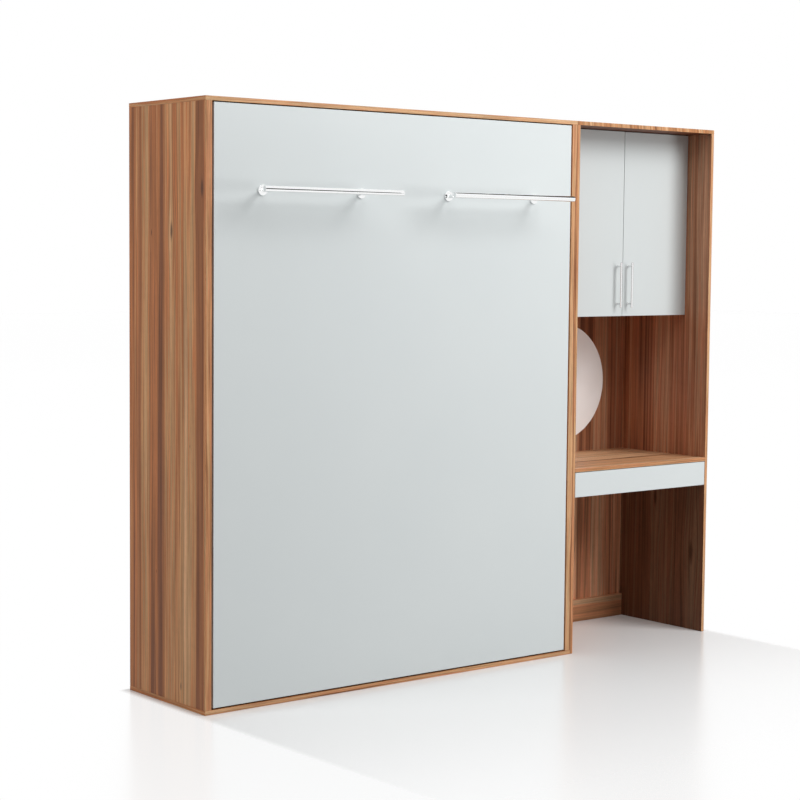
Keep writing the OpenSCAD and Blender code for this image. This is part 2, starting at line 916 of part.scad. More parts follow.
module centre_beam() {
    color("#d9b98a") in_place() block([bed_cx - beam_w / 2, panel_t, box_z + rail_t],
        [bed_cx + beam_w / 2, panel_t + beam_h, box_top - rail_t]);
}

// A slat's outline across X and Y, bowed away from the panel, grown by g
module slat_outline(g) {
    x0 = box_x + rail_t + holder_wall;
    cx = x0 + slat_l / 2;
    cy = slat_seat_y + slat_bow - slat_r;
    intersection() {
        difference() {
            translate([cx, cy]) circle(slat_r + slat_t + g, $fn = slat_fn);
            translate([cx, cy]) circle(slat_r - g, $fn = slat_fn);
        }
        translate([x0 - g, slat_seat_y - slat_t]) square([slat_l + 2 * g, slat_bow + 3 * slat_t]);
    }
}

module slat(i, g) {
    translate([0, 0, slat_z0 + i * slat_pitch - slat_w / 2 - g])
        linear_extrude(slat_w + 2 * g) slat_outline(g);
}

module slats() {
    color("#e3c79a") in_place() bed_pair() for (i = [0:slat_rows - 1]) slat(i, 0);
}

module slat_holder_blocks(i) {
    z = slat_z0 + i * slat_pitch - holder_h / 2;
    x0 = box_x + rail_t;
    x_mid = bed_cx - beam_w / 2;
    block([x0, holder_base_y, z], [x0 + holder_wall + holder_grip, holder_top_y, z + holder_h]);
    block([x_mid - holder_grip, holder_base_y, z], [bed_cx, holder_top_y, z + holder_h]);
}

module slat_holders() {
    color("#2e2e30") in_place() for (i = [0:slat_rows - 1]) difference() {
        bed_pair() slat_holder_blocks(i);
        bed_pair() slat(i, slat_play);
    }
}

module hoop_bend_at(x, turn) {
    translate([x, rail_back + hoop_h - hoop_bend, box_top - rail_t / 2]) rotate([0, 0, turn])
        rotate_extrude(angle = 90) translate([hoop_bend, 0]) circle(d = hoop_d);
}

module mattress_retainer() {
    z = box_top - rail_t / 2;
    leg = hoop_sink + hoop_h - hoop_bend;
    color("#b9bcbe") in_place() {
        for (side = [-1, 1]) {
            translate([bed_cx + side * hoop_w / 2, rail_back - hoop_sink, z]) rod_y(hoop_d, leg);
        }
        hoop_bend_at(bed_cx + hoop_w / 2 - hoop_bend, 0);
        hoop_bend_at(bed_cx - hoop_w / 2 + hoop_bend, 90);
        translate([bed_cx - hoop_w / 2 + hoop_bend, rail_back + hoop_h, z])
            rod_x(hoop_d, hoop_w - 2 * hoop_bend);
    }
}

// Steel arm with its lever, flat against the side rail
module bed_arm() {
    difference() {
        translate([arm_x, 0, 0]) {
            plate_yz(arm_t) polygon(bar_points(pivot, lever_up, arm_hub_r, arm_tip_r));
            plate_yz(arm_t) polygon(bar_points(pivot, arm_foot, arm_hub_r, arm_foot_r));
            plate_yz(arm_t) polygon([
                pivot, pivot + arm_gusset * (lever_up - pivot), pivot + arm_gusset * (arm_foot - pivot)
            ]);
            translate([0, pivot.x, pivot.y]) rod_x(2 * arm_hub_r, arm_t);
            translate([0, lever_up.x, lever_up.y]) rod_x(2 * arm_tip_r, arm_t);
            translate([0, arm_foot.x, arm_foot.y]) rod_x(2 * arm_foot_r, arm_t);
        }
        translate([arm_x - eps, pivot.x, pivot.y]) rod_x(bush_d, arm_t + 2 * eps);
        arm_bolt_holes(bolt_d + 2 * fit);
    }
}

module bed_arm_left() {
    color("#4a4c4f") in_place() bed_arm();
}

module bed_arm_right() {
    color("#4a4c4f") in_place() bed_mirrored() bed_arm();
}

module pivot_bush() {
    translate([arm_x + arm_t - bush_l, pivot.x, pivot.y]) difference() {
        union() {
            rod_x(bush_d, bush_l);
            translate([bush_l - arm_t - bush_flange_t, 0, 0]) rod_x(bush_flange_d, bush_flange_t);
        }
        translate([-eps, 0, 0]) rod_x(pin_d + 2 * fit, bush_l + 2 * eps);
    }
}

module pivot_bushes() {
    color("#d8d3c4") in_place() bed_pair() pivot_bush();
}

module arm_bolts() {
    color("#d6d8da") in_place() bed_pair() for (p = arm_bolt_at) translate([arm_x, p.x, p.y]) {
        rod_x(bolt_d, arm_t + rail_t);
        translate([-bolt_head_t, 0, 0]) rod_x(bolt_head_d, bolt_head_t);
        translate([arm_t + rail_t, 0, 0]) rod_x(bolt_head_d, sleeve_head_t);
    }
}

// Foot bars
module each_bar() {
    for (side = [-1, 1]) translate([bed_cx + side * bar_offset, 0, bar_z]) children();
}

module each_post() {
    each_bar() for (side = [-1, 1]) translate([side * bar_post_gap / 2, 0, 0]) children();
}

module foot_bars() {
    color("#dfe2e4") in_place() each_bar() translate([-bar_l / 2, -bar_reach, 0]) difference() {
        rod_x(bar_d, bar_l);
        translate([-eps, 0, 0]) rod_x(bar_d - 2 * bar_wall, bar_l + 2 * eps);
    }
}

module foot_bar_posts() {
    color("#dfe2e4") in_place() each_post() difference() {
        translate([0, -bar_reach, 0]) rod_y(post_d, bar_reach - flange_t);
        translate([-post_d, -bar_reach, 0]) rod_x(bar_d, 2 * post_d);
    }
}

module foot_bar_flanges() {
    edge = 1.5;
    color("#dfe2e4") in_place() each_post() rotate([90, 0, 0]) rotate_extrude() {
        polygon([
            [0, 0], [flange_d / 2, 0], [flange_d / 2, flange_t - edge], [flange_d / 2 - edge, flange_t],
            [0, flange_t]
        ]);
    }
}

module foot_bar_caps() {
    cap_t = 2;
    color("#dfe2e4") in_place() each_bar() for (x = [-bar_l / 2, bar_l / 2 - cap_t])
        translate([x, -bar_reach, 0]) rod_x(bar_d - 2 * bar_wall, cap_t);
}

// Gas struts, drawn hanging from the upper stud at the origin
module strut_tube() {
    r = tube_d / 2;
    bore_r = rod_d / 2 + fit;
    inner_r = r - tube_wall;
    difference() {
        union() {
            translate([-eye_w / 2, 0, 0]) rod_x(eye_d, eye_w);
            translate([0, 0, -neck_l]) cylinder(d = stud_d, h = neck_l);
        }
        translate([-eye_w, 0, 0]) rod_x(stud_d + 2 * fit, 2 * eye_w);
    }
    rotate_extrude() polygon([
        [0, -neck_l], [r - 1, -neck_l], [r, -neck_l - 1], [r, -tube_foot], [bore_r, -tube_foot],
        [bore_r, -tube_foot + gland_l], [inner_r, -tube_foot + gland_l],
        [inner_r, -neck_l - tube_head_t], [0, -neck_l - tube_head_t]
    ]);
}

module strut_rod() {
    foot = strut_long - neck_l;
    piston_low = tube_foot - gland_l - piston_rest;
    r = rod_d / 2;
    piston_r = tube_d / 2 - tube_wall - fit;
    rotate_extrude() polygon([
        [0, -foot], [r, -foot], [r, -piston_low], [piston_r, -piston_low],
        [piston_r, -piston_low + piston_l], [0, -piston_low + piston_l]
    ]);
    translate([0, 0, -strut_long]) {
        cylinder(d = rod_neck_d, h = neck_l + eps);
        translate([-eye_w / 2, 0, 0]) rod_x(eye_d, eye_w);
        translate([-eye_w / 2 - rod_pin_head_t, 0, 0]) rod_x(1.5 * stud_d, rod_pin_head_t + eps);
        translate([eye_w / 2 - eps, 0, 0]) rod_x(stud_d, arm_x - strut_x - move_gap - eye_w / 2 + eps);
    }
}

module on_stud() {
    translate([strut_x, stud.x, stud.y]) rotate([strut_lean, 0, 0]) children();
}

module strut_tube_left() {
    color("#26272a") in_place() on_stud() strut_tube();
}

module strut_tube_right() {
    color("#26272a") in_place() bed_mirrored() on_stud() strut_tube();
}

module strut_rod_left() {
    color("#c9ccce") in_place() on_stud() strut_rod();
}

module strut_rod_right() {
    color("#c9ccce") in_place() bed_mirrored() on_stud() strut_rod();
}

cabinet_side_left();
cabinet_side_right();
cabinet_top();
cabinet_bottom();
cabinet_back_panel();
cabinet_wall_rail();
cabinet_foot_rail();
pivot_plates();
strut_brackets();
plate_screws();
closing_stops();
closing_buffers();
unit_bolts();
vanity_side_left();
vanity_side_right();
vanity_top();
vanity_back_panel();
vanity_wall_rail();
vanity_foot_rail();
desk_top();
upper_cabinet_floor();
shelf();
shelf_supports();
round_mirror();
hinge_plates();
hinge_arms();
runner_outer();
bed_front_panel();
bed_rail_left();
bed_rail_right();
bed_end_rails();
centre_beam();
slats();
slat_holders();
mattress_retainer();
bed_arm_left();
bed_arm_right();
pivot_bushes();
arm_bolts();
foot_bars();
foot_bar_posts();
foot_bar_flanges();
foot_bar_caps();
strut_tube_left();
strut_tube_right();
strut_rod_left();
strut_rod_right();
door_left();
door_right();
door_handle_left();
door_handle_right();
hinge_cups_left();
hinge_cups_right();
drawer_front();
drawer_sides();
drawer_back();
drawer_bottom();
runner_inner();
runner_middle();
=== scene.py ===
"""Looks of a wall bed in a tall cabinet with a vanity unit at its side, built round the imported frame."""

import logging
import math
from dataclasses import dataclass
from enum import Enum
from typing import Any, Iterable, NamedTuple, Sequence

import bmesh
import bpy
from mathutils import Matrix, Vector


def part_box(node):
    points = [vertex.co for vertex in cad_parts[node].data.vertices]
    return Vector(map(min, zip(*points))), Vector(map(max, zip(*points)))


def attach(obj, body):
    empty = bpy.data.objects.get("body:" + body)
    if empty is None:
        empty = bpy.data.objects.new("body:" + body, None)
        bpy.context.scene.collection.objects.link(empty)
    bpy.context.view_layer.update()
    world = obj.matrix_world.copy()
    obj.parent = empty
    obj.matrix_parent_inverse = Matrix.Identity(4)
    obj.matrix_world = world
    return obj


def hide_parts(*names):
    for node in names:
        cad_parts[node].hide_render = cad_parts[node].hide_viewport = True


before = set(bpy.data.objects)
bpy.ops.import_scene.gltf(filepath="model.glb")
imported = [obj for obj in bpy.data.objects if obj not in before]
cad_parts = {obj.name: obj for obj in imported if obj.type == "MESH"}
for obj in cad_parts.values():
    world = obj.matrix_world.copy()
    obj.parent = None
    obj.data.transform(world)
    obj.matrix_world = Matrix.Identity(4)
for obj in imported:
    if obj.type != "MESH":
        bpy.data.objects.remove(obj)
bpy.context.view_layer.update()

log = logging.getLogger("wall_bed")

MM = 0.001
# The drawing corner: the bed cabinet's front, left, bottom corner, seen from the frame's origin.
CORNER = Vector((-1310.0, -183.5, 0.0)) * MM
CABINET_W = 1800.0
BOARD_EDGE = 0.6 * MM
# The backs sit in rabbets between these depths.
RABBET_YS = (510.0, 522.0)
# The desk's middle height, in metres, below which painted shade and painted light go on the knee space's boards.
DESK_LEVEL = 0.766
LEFT, RIGHT, FORWARD, BACKWARD, UP = (-1, 0, 0), (1, 0, 0), (0, -1, 0), (0, 1, 0), (0, 0, 1)
WHITE = (1.0, 1.0, 1.0, 1.0)
Point = tuple[float, float, float]
Spot = tuple[float, float]
Socket = bpy.types.NodeSocket
Piece = bpy.types.Object


def at(x: float, y: float, z: float) -> Vector:
    """Return a point of the frame, in metres, for millimetres from the drawing corner."""
    return CORNER + Vector((x, y, z)) * MM


def linear(code: str) -> tuple[float, float, float, float]:
    """Turn an sRGB hex colour, six digits after a hash, into the linear colour that a shader takes."""
    shares = [int(code[i : i + 2], 16) / 255 for i in (1, 3, 5)]
    return (*[s / 12.92 if s <= 0.04045 else ((s + 0.055) / 1.055) ** 2.4 for s in shares], 1.0)


@dataclass
class Graph:
    """A node tree, with short calls for the nodes that its patterns repeat."""

    tree: bpy.types.NodeTree

    @classmethod
    def blank(cls, owner: bpy.types.ID) -> "Graph":
        """Return the emptied shader tree of a material or world."""
        owner.use_nodes = True
        owner.node_tree.nodes.clear()
        return cls(owner.node_tree)

    @classmethod
    def group(cls, name: str, kinds: dict[str, str]) -> tuple["Graph", Any]:
        """Make a geometry tree with named inputs.

        Args:
            name: The tree's name.
            kinds: Input names, each with its kind of socket.

        Returns:
            The tree, and its inputs by name.
        """
        graph = cls(bpy.data.node_groups.new(name, "GeometryNodeTree"))
        graph.tree.interface.new_socket("Geometry", in_out="OUTPUT", socket_type="NodeSocketGeometry")
        for key, kind in kinds.items():
            graph.tree.interface.new_socket(key, in_out="INPUT", socket_type="NodeSocket" + kind)
        return graph, graph.add("NodeGroupInput").outputs

    def add(self, kind: str, feeds: dict[str | int, Any] | None = None, **settings: Any) -> bpy.types.Node:
        """Add a node, set it up and feed it.

        Args:
            kind: The node's type.
            feeds: Input names or numbers, each with a socket to link or a value to set.
            **settings: The node's own properties.

        Returns:
            The new node.
        """
        node = self.tree.nodes.new(kind)
        for key, value in settings.items():
            setattr(node, key, value)
        for key, value in (feeds or {}).items():
            if isinstance(value, Socket):
                self.tree.links.new(value, node.inputs[key])
            else:
                node.inputs[key].default_value = value
        return node

    def get(self, kind: str, feeds: dict[str | int, Any], **settings: Any) -> Socket:
        """Add a node and return its first output."""
        return self.add(kind, feeds, **settings).outputs[0]

    def calc(self, operation: str, *values: Socket | float) -> Socket:
        """Return the result of a Math node."""
        return self.get("ShaderNodeMath", dict(enumerate(values)), operation=operation)

    def fit(self, value: Socket, *span: float, curve: str = "LINEAR") -> Socket:
        """Return a value moved from the span's first two numbers to its last two."""
        return self.get("ShaderNodeMapRange", dict(enumerate((value, *span))), interpolation_type=curve)

    def ease(self, value: Socket, *span: float) -> Socket:
        """Return a value moved as fit does, with soft ends."""
        return self.fit(value, *span, curve="SMOOTHSTEP")

    def spread(self, noise: Socket, low: float, high: float) -> Socket:
        """Return noise spread between two values."""
        return self.fit(noise, 0.3, 0.7, low, high)

    def vector(self, x: Socket | float = 0.0, y: Socket | float = 0.0, z: Socket | float = 0.0) -> Socket:
        """Return a vector made of three parts."""
        return self.get("ShaderNodeCombineXYZ", {0: x, 1: y, 2: z})

    def split(self, vector: Socket) -> Any:
        """Return a vector's three parts."""
        return self.add("ShaderNodeSeparateXYZ", {0: vector}).outputs

    def times(self, vector: Socket, scale: Point) -> Socket:
        """Return a vector stretched along each axis."""
        return self.get("ShaderNodeVectorMath", {0: vector, 1: scale}, operation="MULTIPLY")

    def place(self) -> Socket:
        """Return the object's own coordinates."""
        return self.add("ShaderNodeTexCoord").outputs["Object"]

    def stretched(self, scale: Sequence[float]) -> Socket:
        """Return the object's own coordinates, stretched along each axis."""
        return self.get("ShaderNodeMapping", {"Vector": self.place(), "Scale": tuple(scale)})

    def noise(
        self, where: Socket, scale: float, detail: float, rough: float = 0.5, size: str = "3D"
    ) -> Socket:
        """Return noise of that scale, detail and roughness."""
        feeds = {"Vector": where, "Scale": scale, "Detail": detail, "Roughness": rough}
        return self.get("ShaderNodeTexNoise", feeds, noise_dimensions=size)

    def cells(self, key: str, where: Socket, size: str, feature: str = "F1") -> bpy.types.Node:
        """Add a pattern of unit cells, which takes its coordinates at that input."""
        feeds = {key: where, "Scale": 1.0, "Randomness": 1.0}
        return self.add("ShaderNodeTexVoronoi", feeds, voronoi_dimensions=size, feature=feature)

    def luck(self, cell: bpy.types.Node) -> Socket:
        """Return a random share of each cell's own."""
        return self.get("ShaderNodeSeparateColor", {0: cell.outputs["Color"]})

    def mix(self, share: Socket | float, first: Any, second: Any, blend: str = "MIX") -> Socket:
        """Return two colours mixed by a share."""
        feeds = {0: share, 6: first, 7: second}
        return self.add("ShaderNodeMix", feeds, data_type="RGBA", blend_type=blend).outputs[2]

    def ramp(self, value: Socket, stops: Iterable[tuple[float, str]]) -> Socket:
        """Return the colour that a ramp gives for a value.

        Args:
            value: Where on the ramp.
            stops: Places, each with its hex colour.

        Returns:
            The colour socket.
        """
        node = self.add("ShaderNodeValToRGB", {0: value})
        elements, wanted = node.color_ramp.elements, list(stops)
        while len(elements) < len(wanted):
            elements.new(0.5)
        for element, (place, code) in zip(elements, wanted):
            element.position, element.color = place, linear(code)
        return node.outputs[0]

    def bump(self, height: Socket, strength: float, depth_mm: float) -> Socket:
        """Return a normal bent by a height."""
        return self.get("ShaderNodeBump", {"Strength": strength, "Distance": depth_mm * MM, "Height": height})

    def deliver(self, shape: Socket, finish: Socket) -> bpy.types.NodeTree:
        """Make a geometry tree's instances real, paint them and put them out.

        Args:
            shape: The instances.
            finish: The material.

        Returns:
            The finished tree.
        """
        real = self.get("GeometryNodeRealizeInstances", {"Geometry": shape})
        painted = self.get("GeometryNodeSetMaterial", {"Geometry": real, "Material": finish})
        self.add("NodeGroupOutput", {"Geometry": painted})
        return self.tree


class Grain(Enum):
    """How the grain lies on a board: the axes across it, through the board and along it."""

    UPRIGHT_SIDE = ("Y", "X", "Z")
    UPRIGHT_FACE = ("X", "Y", "Z")
    LEVEL_TOP = ("Y", "Z", "X")
    LEVEL_RAIL = ("Z", "Y", "X")
    DEEP_TOP = ("X", "Z", "Y")
    END_BAND = ("Z", "X", "Y")


class Body(Enum):
    """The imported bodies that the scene's own pieces ride on."""

    CABINET = "cabinet"
    BED = "bed"
    DOOR_LEFT = "door_left"
    DOOR_RIGHT = "door_right"
    DRAWER = "drawer"


class Tones(NamedTuple):
    """The six browns of one walnut print, as sRGB hex colours."""

    dark: str = "#824C2B"
    brown: str = "#B27144"
    red: str = "#C87B4A"
    tan: str = "#D69866"
    olive: str = "#C29568"
    pale: str = "#E0AC80"

    def stops(self) -> Iterable[tuple[float, str]]:
        """Return the ramp from the darkest stave to the palest."""
        order = (self.dark, self.brown, self.red, self.brown, self.tan, self.olive, self.red, self.tan)
        return zip((0.06, 0.2, 0.32, 0.42, 0.5, 0.58, 0.66, 0.74, 0.84, 0.94), (*order, self.olive, self.pale))


@dataclass(frozen=True)
class Finish:
    """A surface finish, made into one material the first time that it is asked for."""

    name: str

    def paint(self, graph: Graph) -> dict[str, Any]:
        """Build the finish's pattern and return what it feeds to the Principled shader."""
        return {}

    def material(self) -> bpy.types.Material:
        """Return the finish's material, made on first use."""
        made = bpy.data.materials.get(self.name)
        if made is None:
            made = bpy.data.materials.new(self.name)
            graph = Graph.blank(made)
            shader = graph.get("ShaderNodeBsdfPrincipled", self.paint(graph))
            graph.add("ShaderNodeOutputMaterial", {"Surface": shader})
        return made


@dataclass(frozen=True)
class WalnutLaminate(Finish):
    """Melamine-faced chipboard printed with striped walnut and pressed to a satin face.

    The print is a row of narrow staves: broad stripes of mixed browns, crisp dark lines, fine pores
    and a few long knots that the stripes bend round. Dark stripes are set by middle and half width:
    heartwood where the boards on show have it, and on the upright edge band a line at the joint of the
    two units that is partly a dark glue line and partly painted shade. Where below is given, the tone
    beneath the desk is scaled for painted shade or painted light: below that height, up to that depth
    of the face, by that factor.
    """

    grain: Grain = Grain.UPRIGHT_SIDE
    shift: Spot = (0.0, 0.0)
    tones: Tones = Tones()
    knot: str = "#40200F"
    stave_mm: float = 84.0
    band_mm: float = 34.0
    line_mm: float = 11.0
    cloud_mm: float = 26.0
    pore_mm: float = 1.5
    knot_mm: float = 210.0
    # A knot's cell is this share as wide as it is long.
    knot_slimness: float = 0.24
    knot_depth: float = 0.8
    wrap: float = 1.0
    drift: float = 0.022
    gloss: float = 0.22
    hearts_and_shade_lines: tuple[Spot, ...] = ()
    below: Point | None = None

    def paint(self, graph: Graph) -> dict[str, Any]:
        """Build the stripes, lines, pores and knots, and the bump that the press leaves.

        Args:
            graph: The material's node tree.

        Returns:
            What feeds the Principled shader.
        """
        calc = graph.calc
        parts = graph.split(graph.place())
        across, through, along = (parts[axis] for axis in self.grain.value)
        # An edge shows the same stripes as the face, because the print is taken round it.
        side = calc("ADD", calc("MULTIPLY_ADD", through, self.wrap, across), self.shift[0])
        length = calc("ADD", along, self.shift[1])
        flat = graph.vector(side, length)

        # Knots lie one to a cell, and each bends the stripes round it.
        cell = self.knot_mm * MM
        where = graph.times(flat, (1 / cell, self.knot_slimness / cell, 1.0))
        knots = graph.cells("Vector", where, "2D")
        off = calc("SUBTRACT", graph.split(where)[0], graph.split(knots.outputs["Position"])[0])
        size = graph.ease(graph.luck(knots), 0.25, 1.0, 0.25, 1.5)
        reach = calc("DIVIDE", knots.outputs["Distance"], size)
        near = graph.ease(reach, 0.0, 0.2, 0.6, 0.0)
        bent = calc("MULTIPLY", calc("MULTIPLY", off, near), cell)
        slow = graph.noise(graph.times(flat, (6.0, 0.7, 1.0)), 1.0, 1.0, size="2D")
        stave = calc("SUBTRACT", calc("MULTIPLY_ADD", slow, self.drift, side), bent)

        def streaks(width_mm: float, stretch: float, detail: float) -> Socket:
            """Return noise drawn out along the grain.

            Args:
                width_mm: The width of one streak.
                stretch: How many times its width a streak is long.
                detail: The noise's detail.

            Returns:
                The noise's socket.
            """
            scale = 1 / (width_mm * MM)
            drawn = graph.vector(calc("MULTIPLY", stave, scale), calc("MULTIPLY", length, scale / stretch))
            return graph.noise(drawn, 1.0, detail, 0.6, "2D")

        # Each stave keeps one tone along the whole board, and its edges are crisp.
        row = calc("MULTIPLY", stave, 1 / (self.stave_mm * MM))
        own = graph.luck(graph.cells("W", row, "1D"))
        broad = calc("MULTIPLY_ADD", streaks(self.band_mm, 90.0, 3.0), 1.3, -0.42)
        bands = calc("MULTIPLY_ADD", own, 0.54, broad)
        # Heartwood stripes, and joint lines that are partly painted shade.
        for middle, half in self.hearts_and_shade_lines:
            apart = calc("ABSOLUTE", calc("SUBTRACT", stave, middle))
            bands = calc("MULTIPLY", bands, graph.ease(apart, 0.7 * half, 1.1 * half, 0.25, 1.0))
        colour = graph.ramp(bands, self.tones.stops())
        fine = streaks(self.line_mm, 70.0, 2.5)
        lines = graph.fit(fine, 0.3, 0.6, 0.74, 1.08)
        pits = graph.fit(streaks(self.pore_mm, 26.0, 1.0), 0.28, 0.44, 0.84, 1.0)
        cloud = graph.spread(streaks(self.cloud_mm, 11.0, 2.0), 0.9, 1.07)
        joints = graph.cells("W", row, "1D", "DISTANCE_TO_EDGE")
        seam = graph.ease(joints.outputs["Distance"], 0.0, 0.06, 0.84, 1.0)
        worn = calc("MULTIPLY", lines, pits)
        toned = calc("MULTIPLY", calc("MULTIPLY", worn, cloud), seam)
        # Painted shade or painted light in the knee space: below the given height and depth, the tone is scaled by the
        # given factor.
        if self.below is not None:
            height, depth, tone = self.below
            painted_shading_area = calc("MULTIPLY", calc("LESS_THAN", along, height), calc("LESS_THAN", through, depth))
            toned = calc("MULTIPLY", toned, calc("MULTIPLY_ADD", painted_shading_area, tone - 1, 1.0))
        grey = graph.get("ShaderNodeCombineColor", {0: toned, 1: toned, 2: toned})
        grained = graph.mix(1.0, colour, grey, "MULTIPLY")
        core = graph.ease(reach, 0.008, 0.04, self.knot_depth, 0.0)
        return {
            "Base Color": graph.mix(core, grained, linear(self.knot)),
            "Roughness": graph.spread(fine, 0.5, 0.4),
            "Normal": graph.bump(worn, 0.35, 0.12),
            "Specular IOR Level": self.gloss,
        }


@dataclass(frozen=True)
class FineGrain(Finish):
    """A finish whose tone, gloss and relief follow one fine noise, drawn out where it is stretched.

    Where peel_mm is given, the relief has a finer noise of its own.
    """

    colour: str = "#DEE3E3"
    fleck: str = "#D8DEDF"
    rough: Spot = (0.3, 0.34)
    relief: float = 0.05
    grain_mm: float = 3.0
    stretch: Point = (1.0, 1.0, 1.0)
    detail: float = 3.0
    depth_mm: float = 0.05
    peel_mm: float = 0.0
    metallic: float = 0.0

    def tint(self, graph: Graph, grain: Socket) -> Socket:
        """Return the tone, mixed by the grain."""
        return graph.mix(grain, linear(self.colour), linear(self.fleck))

    def paint(self, graph: Graph) -> dict[str, Any]:
        """Build the grain and all that follows it.

        Args:
            graph: The material's node tree.

        Returns:
            What feeds the Principled shader.
        """
        grain = graph.noise(graph.stretched(s / (self.grain_mm * MM) for s in self.stretch), 1.0, self.detail)
        peel = graph.noise(graph.place(), 1 / (self.peel_mm * MM), 1.0) if self.peel_mm else grain
        return {
            "Base Color": self.tint(graph, grain),
            "Roughness": graph.spread(grain, *self.rough),
            "Normal": graph.bump(peel, self.relief, self.depth_mm),
            "Metallic": self.metallic,
        }


@dataclass(frozen=True)
class SatinLacquer(FineGrain):
    """Polyurethane lacquer sprayed on fibreboard and left satin: an even pale face with faint orange peel."""

    grain_mm: float = 1000 / 2.2
    peel_mm: float = 3.0


@dataclass(frozen=True)
class PlatedMetal(FineGrain):
    """Metal with a plated or drawn face: a tone, a grit and, where it is drawn, a direction."""

    relief: float = 0.02
    grain_mm: float = 4.0
    metallic: float = 1.0
    dullness: float = 0.9

    def tint(self, graph: Graph, grain: Socket) -> Socket:
        """Return the metal's tone, a little duller where the grit is coarse."""
        base = linear(self.colour)
        return graph.mix(grain, base, (*[c * self.dullness for c in base[:3]], 1.0))


@dataclass(frozen=True)
class CoatedSurface(FineGrain):
    """Powder coat, moulded plastic or rubber: a grainy film with a little unevenness in its tone."""

    grain_mm: float = 1.6
    detail: float = 2.0
    depth_mm: float = 0.1


@dataclass(frozen=True)
class PaleTimber(FineGrain):
    """Peeled birch or sawn spruce with close, quiet grain under a thin oil."""

    colour: str = "#E6CFA6"
    fleck: str = "#C9A878"
    rough: Spot = (0.61, 0.51)
    relief: float = 0.25
    grain_mm: float = 7.0
    stretch: Point = (0.025, 1.0, 1.0)
    detail: float = 4.0
    depth_mm: float = 0.1

    def tint(self, graph: Graph, grain: Socket) -> Socket:
        """Return the timber's rings, dark and light by turns."""
        stops = ((0.32, self.fleck), (0.5, self.colour), (0.62, self.fleck), (0.7, self.colour))
        return graph.ramp(grain, stops)


@dataclass(frozen=True)
class SilveredGlass(FineGrain):
    """Float glass silvered on its back, with a polished edge: a soft, slightly warm grey mirror."""

    colour: str = "#FFFFFF"
    fleck: str = "#F6F5F4"
    rough: Spot = (0.95, 1.0)
    relief: float = 0.0
    grain_mm: float = 200.0
    detail: float = 2.0
    metallic: float = 1.0


INNER = Tones("#83543C", "#A97353", "#BB7C5D", "#CB9775", "#BB9373", "#D5A98B")
# Painted shade: a darker copy of the walnut print for the vanity top's underside, which lies in shade.
UNDERSIDE_SHADE_TONES = Tones("#4A2415", "#7A4528", "#8A4E2E", "#9A6240", "#8A5A3A", "#A8734E")
DEEP = Tones("#6E4328", "#B27A4F", "#C48658", "#D8A678", "#C99D73", "#E8BE92")
DESK = Tones("#8E5F3F", "#C4946C", "#D29C72", "#E0B38A", "#D4B08A", "#EAC6A0")
RAIL = Tones("#96603E", "#C58A62", "#D69068", "#E4AC82", "#D6AC86", "#EEC29C")
BAND = Tones("#8E5C3C", "#C68E60", "#D08C66", "#DCAD7E", "#CFA87F", "#E9C298")
BAND_SIZES = {"stave_mm": 13.0, "band_mm": 8.0, "line_mm": 3.0, "knot_depth": 0.0}

SIDE_WALNUT = WalnutLaminate(
    "walnut_laminate_side",
    Grain.UPRIGHT_SIDE,
    (2.7, 1.38),
    hearts_and_shade_lines=((1.253, 0.026), (1.498, 0.010), (1.66, 0.012)),
)
SIDE_WALNUT_RIGHT = WalnutLaminate("walnut_laminate_side_right", Grain.UPRIGHT_SIDE, (0.42, 0.9))
SHADED_UNDERSIDE_WALNUT = WalnutLaminate("walnut_laminate_underside", Grain.LEVEL_TOP, (1.2, 0.4), UNDERSIDE_SHADE_TONES)
VANITY_WALNUT_LEFT = WalnutLaminate("walnut_laminate_vanity_left", Grain.UPRIGHT_SIDE, (1.37, 0.35), INNER)
# Painted shade: below the desk, the right side's inner face is 0.45 times as bright.
VANITY_WALNUT_RIGHT = WalnutLaminate(
    "walnut_laminate_vanity_right",
    Grain.UPRIGHT_SIDE,
    (2.11, 0.6),
    INNER,
    stave_mm=60.0,
    knot_mm=300.0,
    below=(DESK_LEVEL, 1.3, 0.45),
)
TOP_WALNUT = WalnutLaminate("walnut_laminate_top", Grain.LEVEL_TOP, (0.2, 0.3))
BOTTOM_WALNUT = WalnutLaminate("walnut_laminate_bottom", Grain.LEVEL_TOP, (0.9, 1.3))
DEEP_WALNUT = WalnutLaminate(
    "walnut_laminate_vanity_top", Grain.DEEP_TOP, (0.4, 0.1), DEEP, stave_mm=30.0, band_mm=18.0, wrap=0.15
)
DESK_WALNUT = WalnutLaminate(
    "walnut_laminate_desk",
    Grain.LEVEL_TOP,
    (1.6, 0.8),
    DESK,
    knot_mm=150.0,
    hearts_and_shade_lines=((2.30, 0.005), (2.39, 0.012), (2.51, 0.006)),
)
RAIL_WALNUT = WalnutLaminate("walnut_laminate_rail", Grain.LEVEL_RAIL, (0.7, 0.5), RAIL)
BACK_WALNUT = WalnutLaminate("walnut_laminate_back", Grain.UPRIGHT_FACE, (0.15, 0.2), INNER)
# Painted light: below the desk, the back is 1.6 times as bright.
VANITY_BACK_WALNUT = WalnutLaminate(
    "walnut_laminate_vanity_back", Grain.UPRIGHT_FACE, (0.15, 0.2), INNER, below=(DESK_LEVEL, 0.33, 1.6)
)
BED_WALNUT = WalnutLaminate("walnut_laminate_bed_rail", Grain.UPRIGHT_SIDE, (3.3, 0.1))
BED_END_WALNUT = WalnutLaminate("walnut_laminate_bed_end", Grain.LEVEL_TOP, (2.4, 0.7))
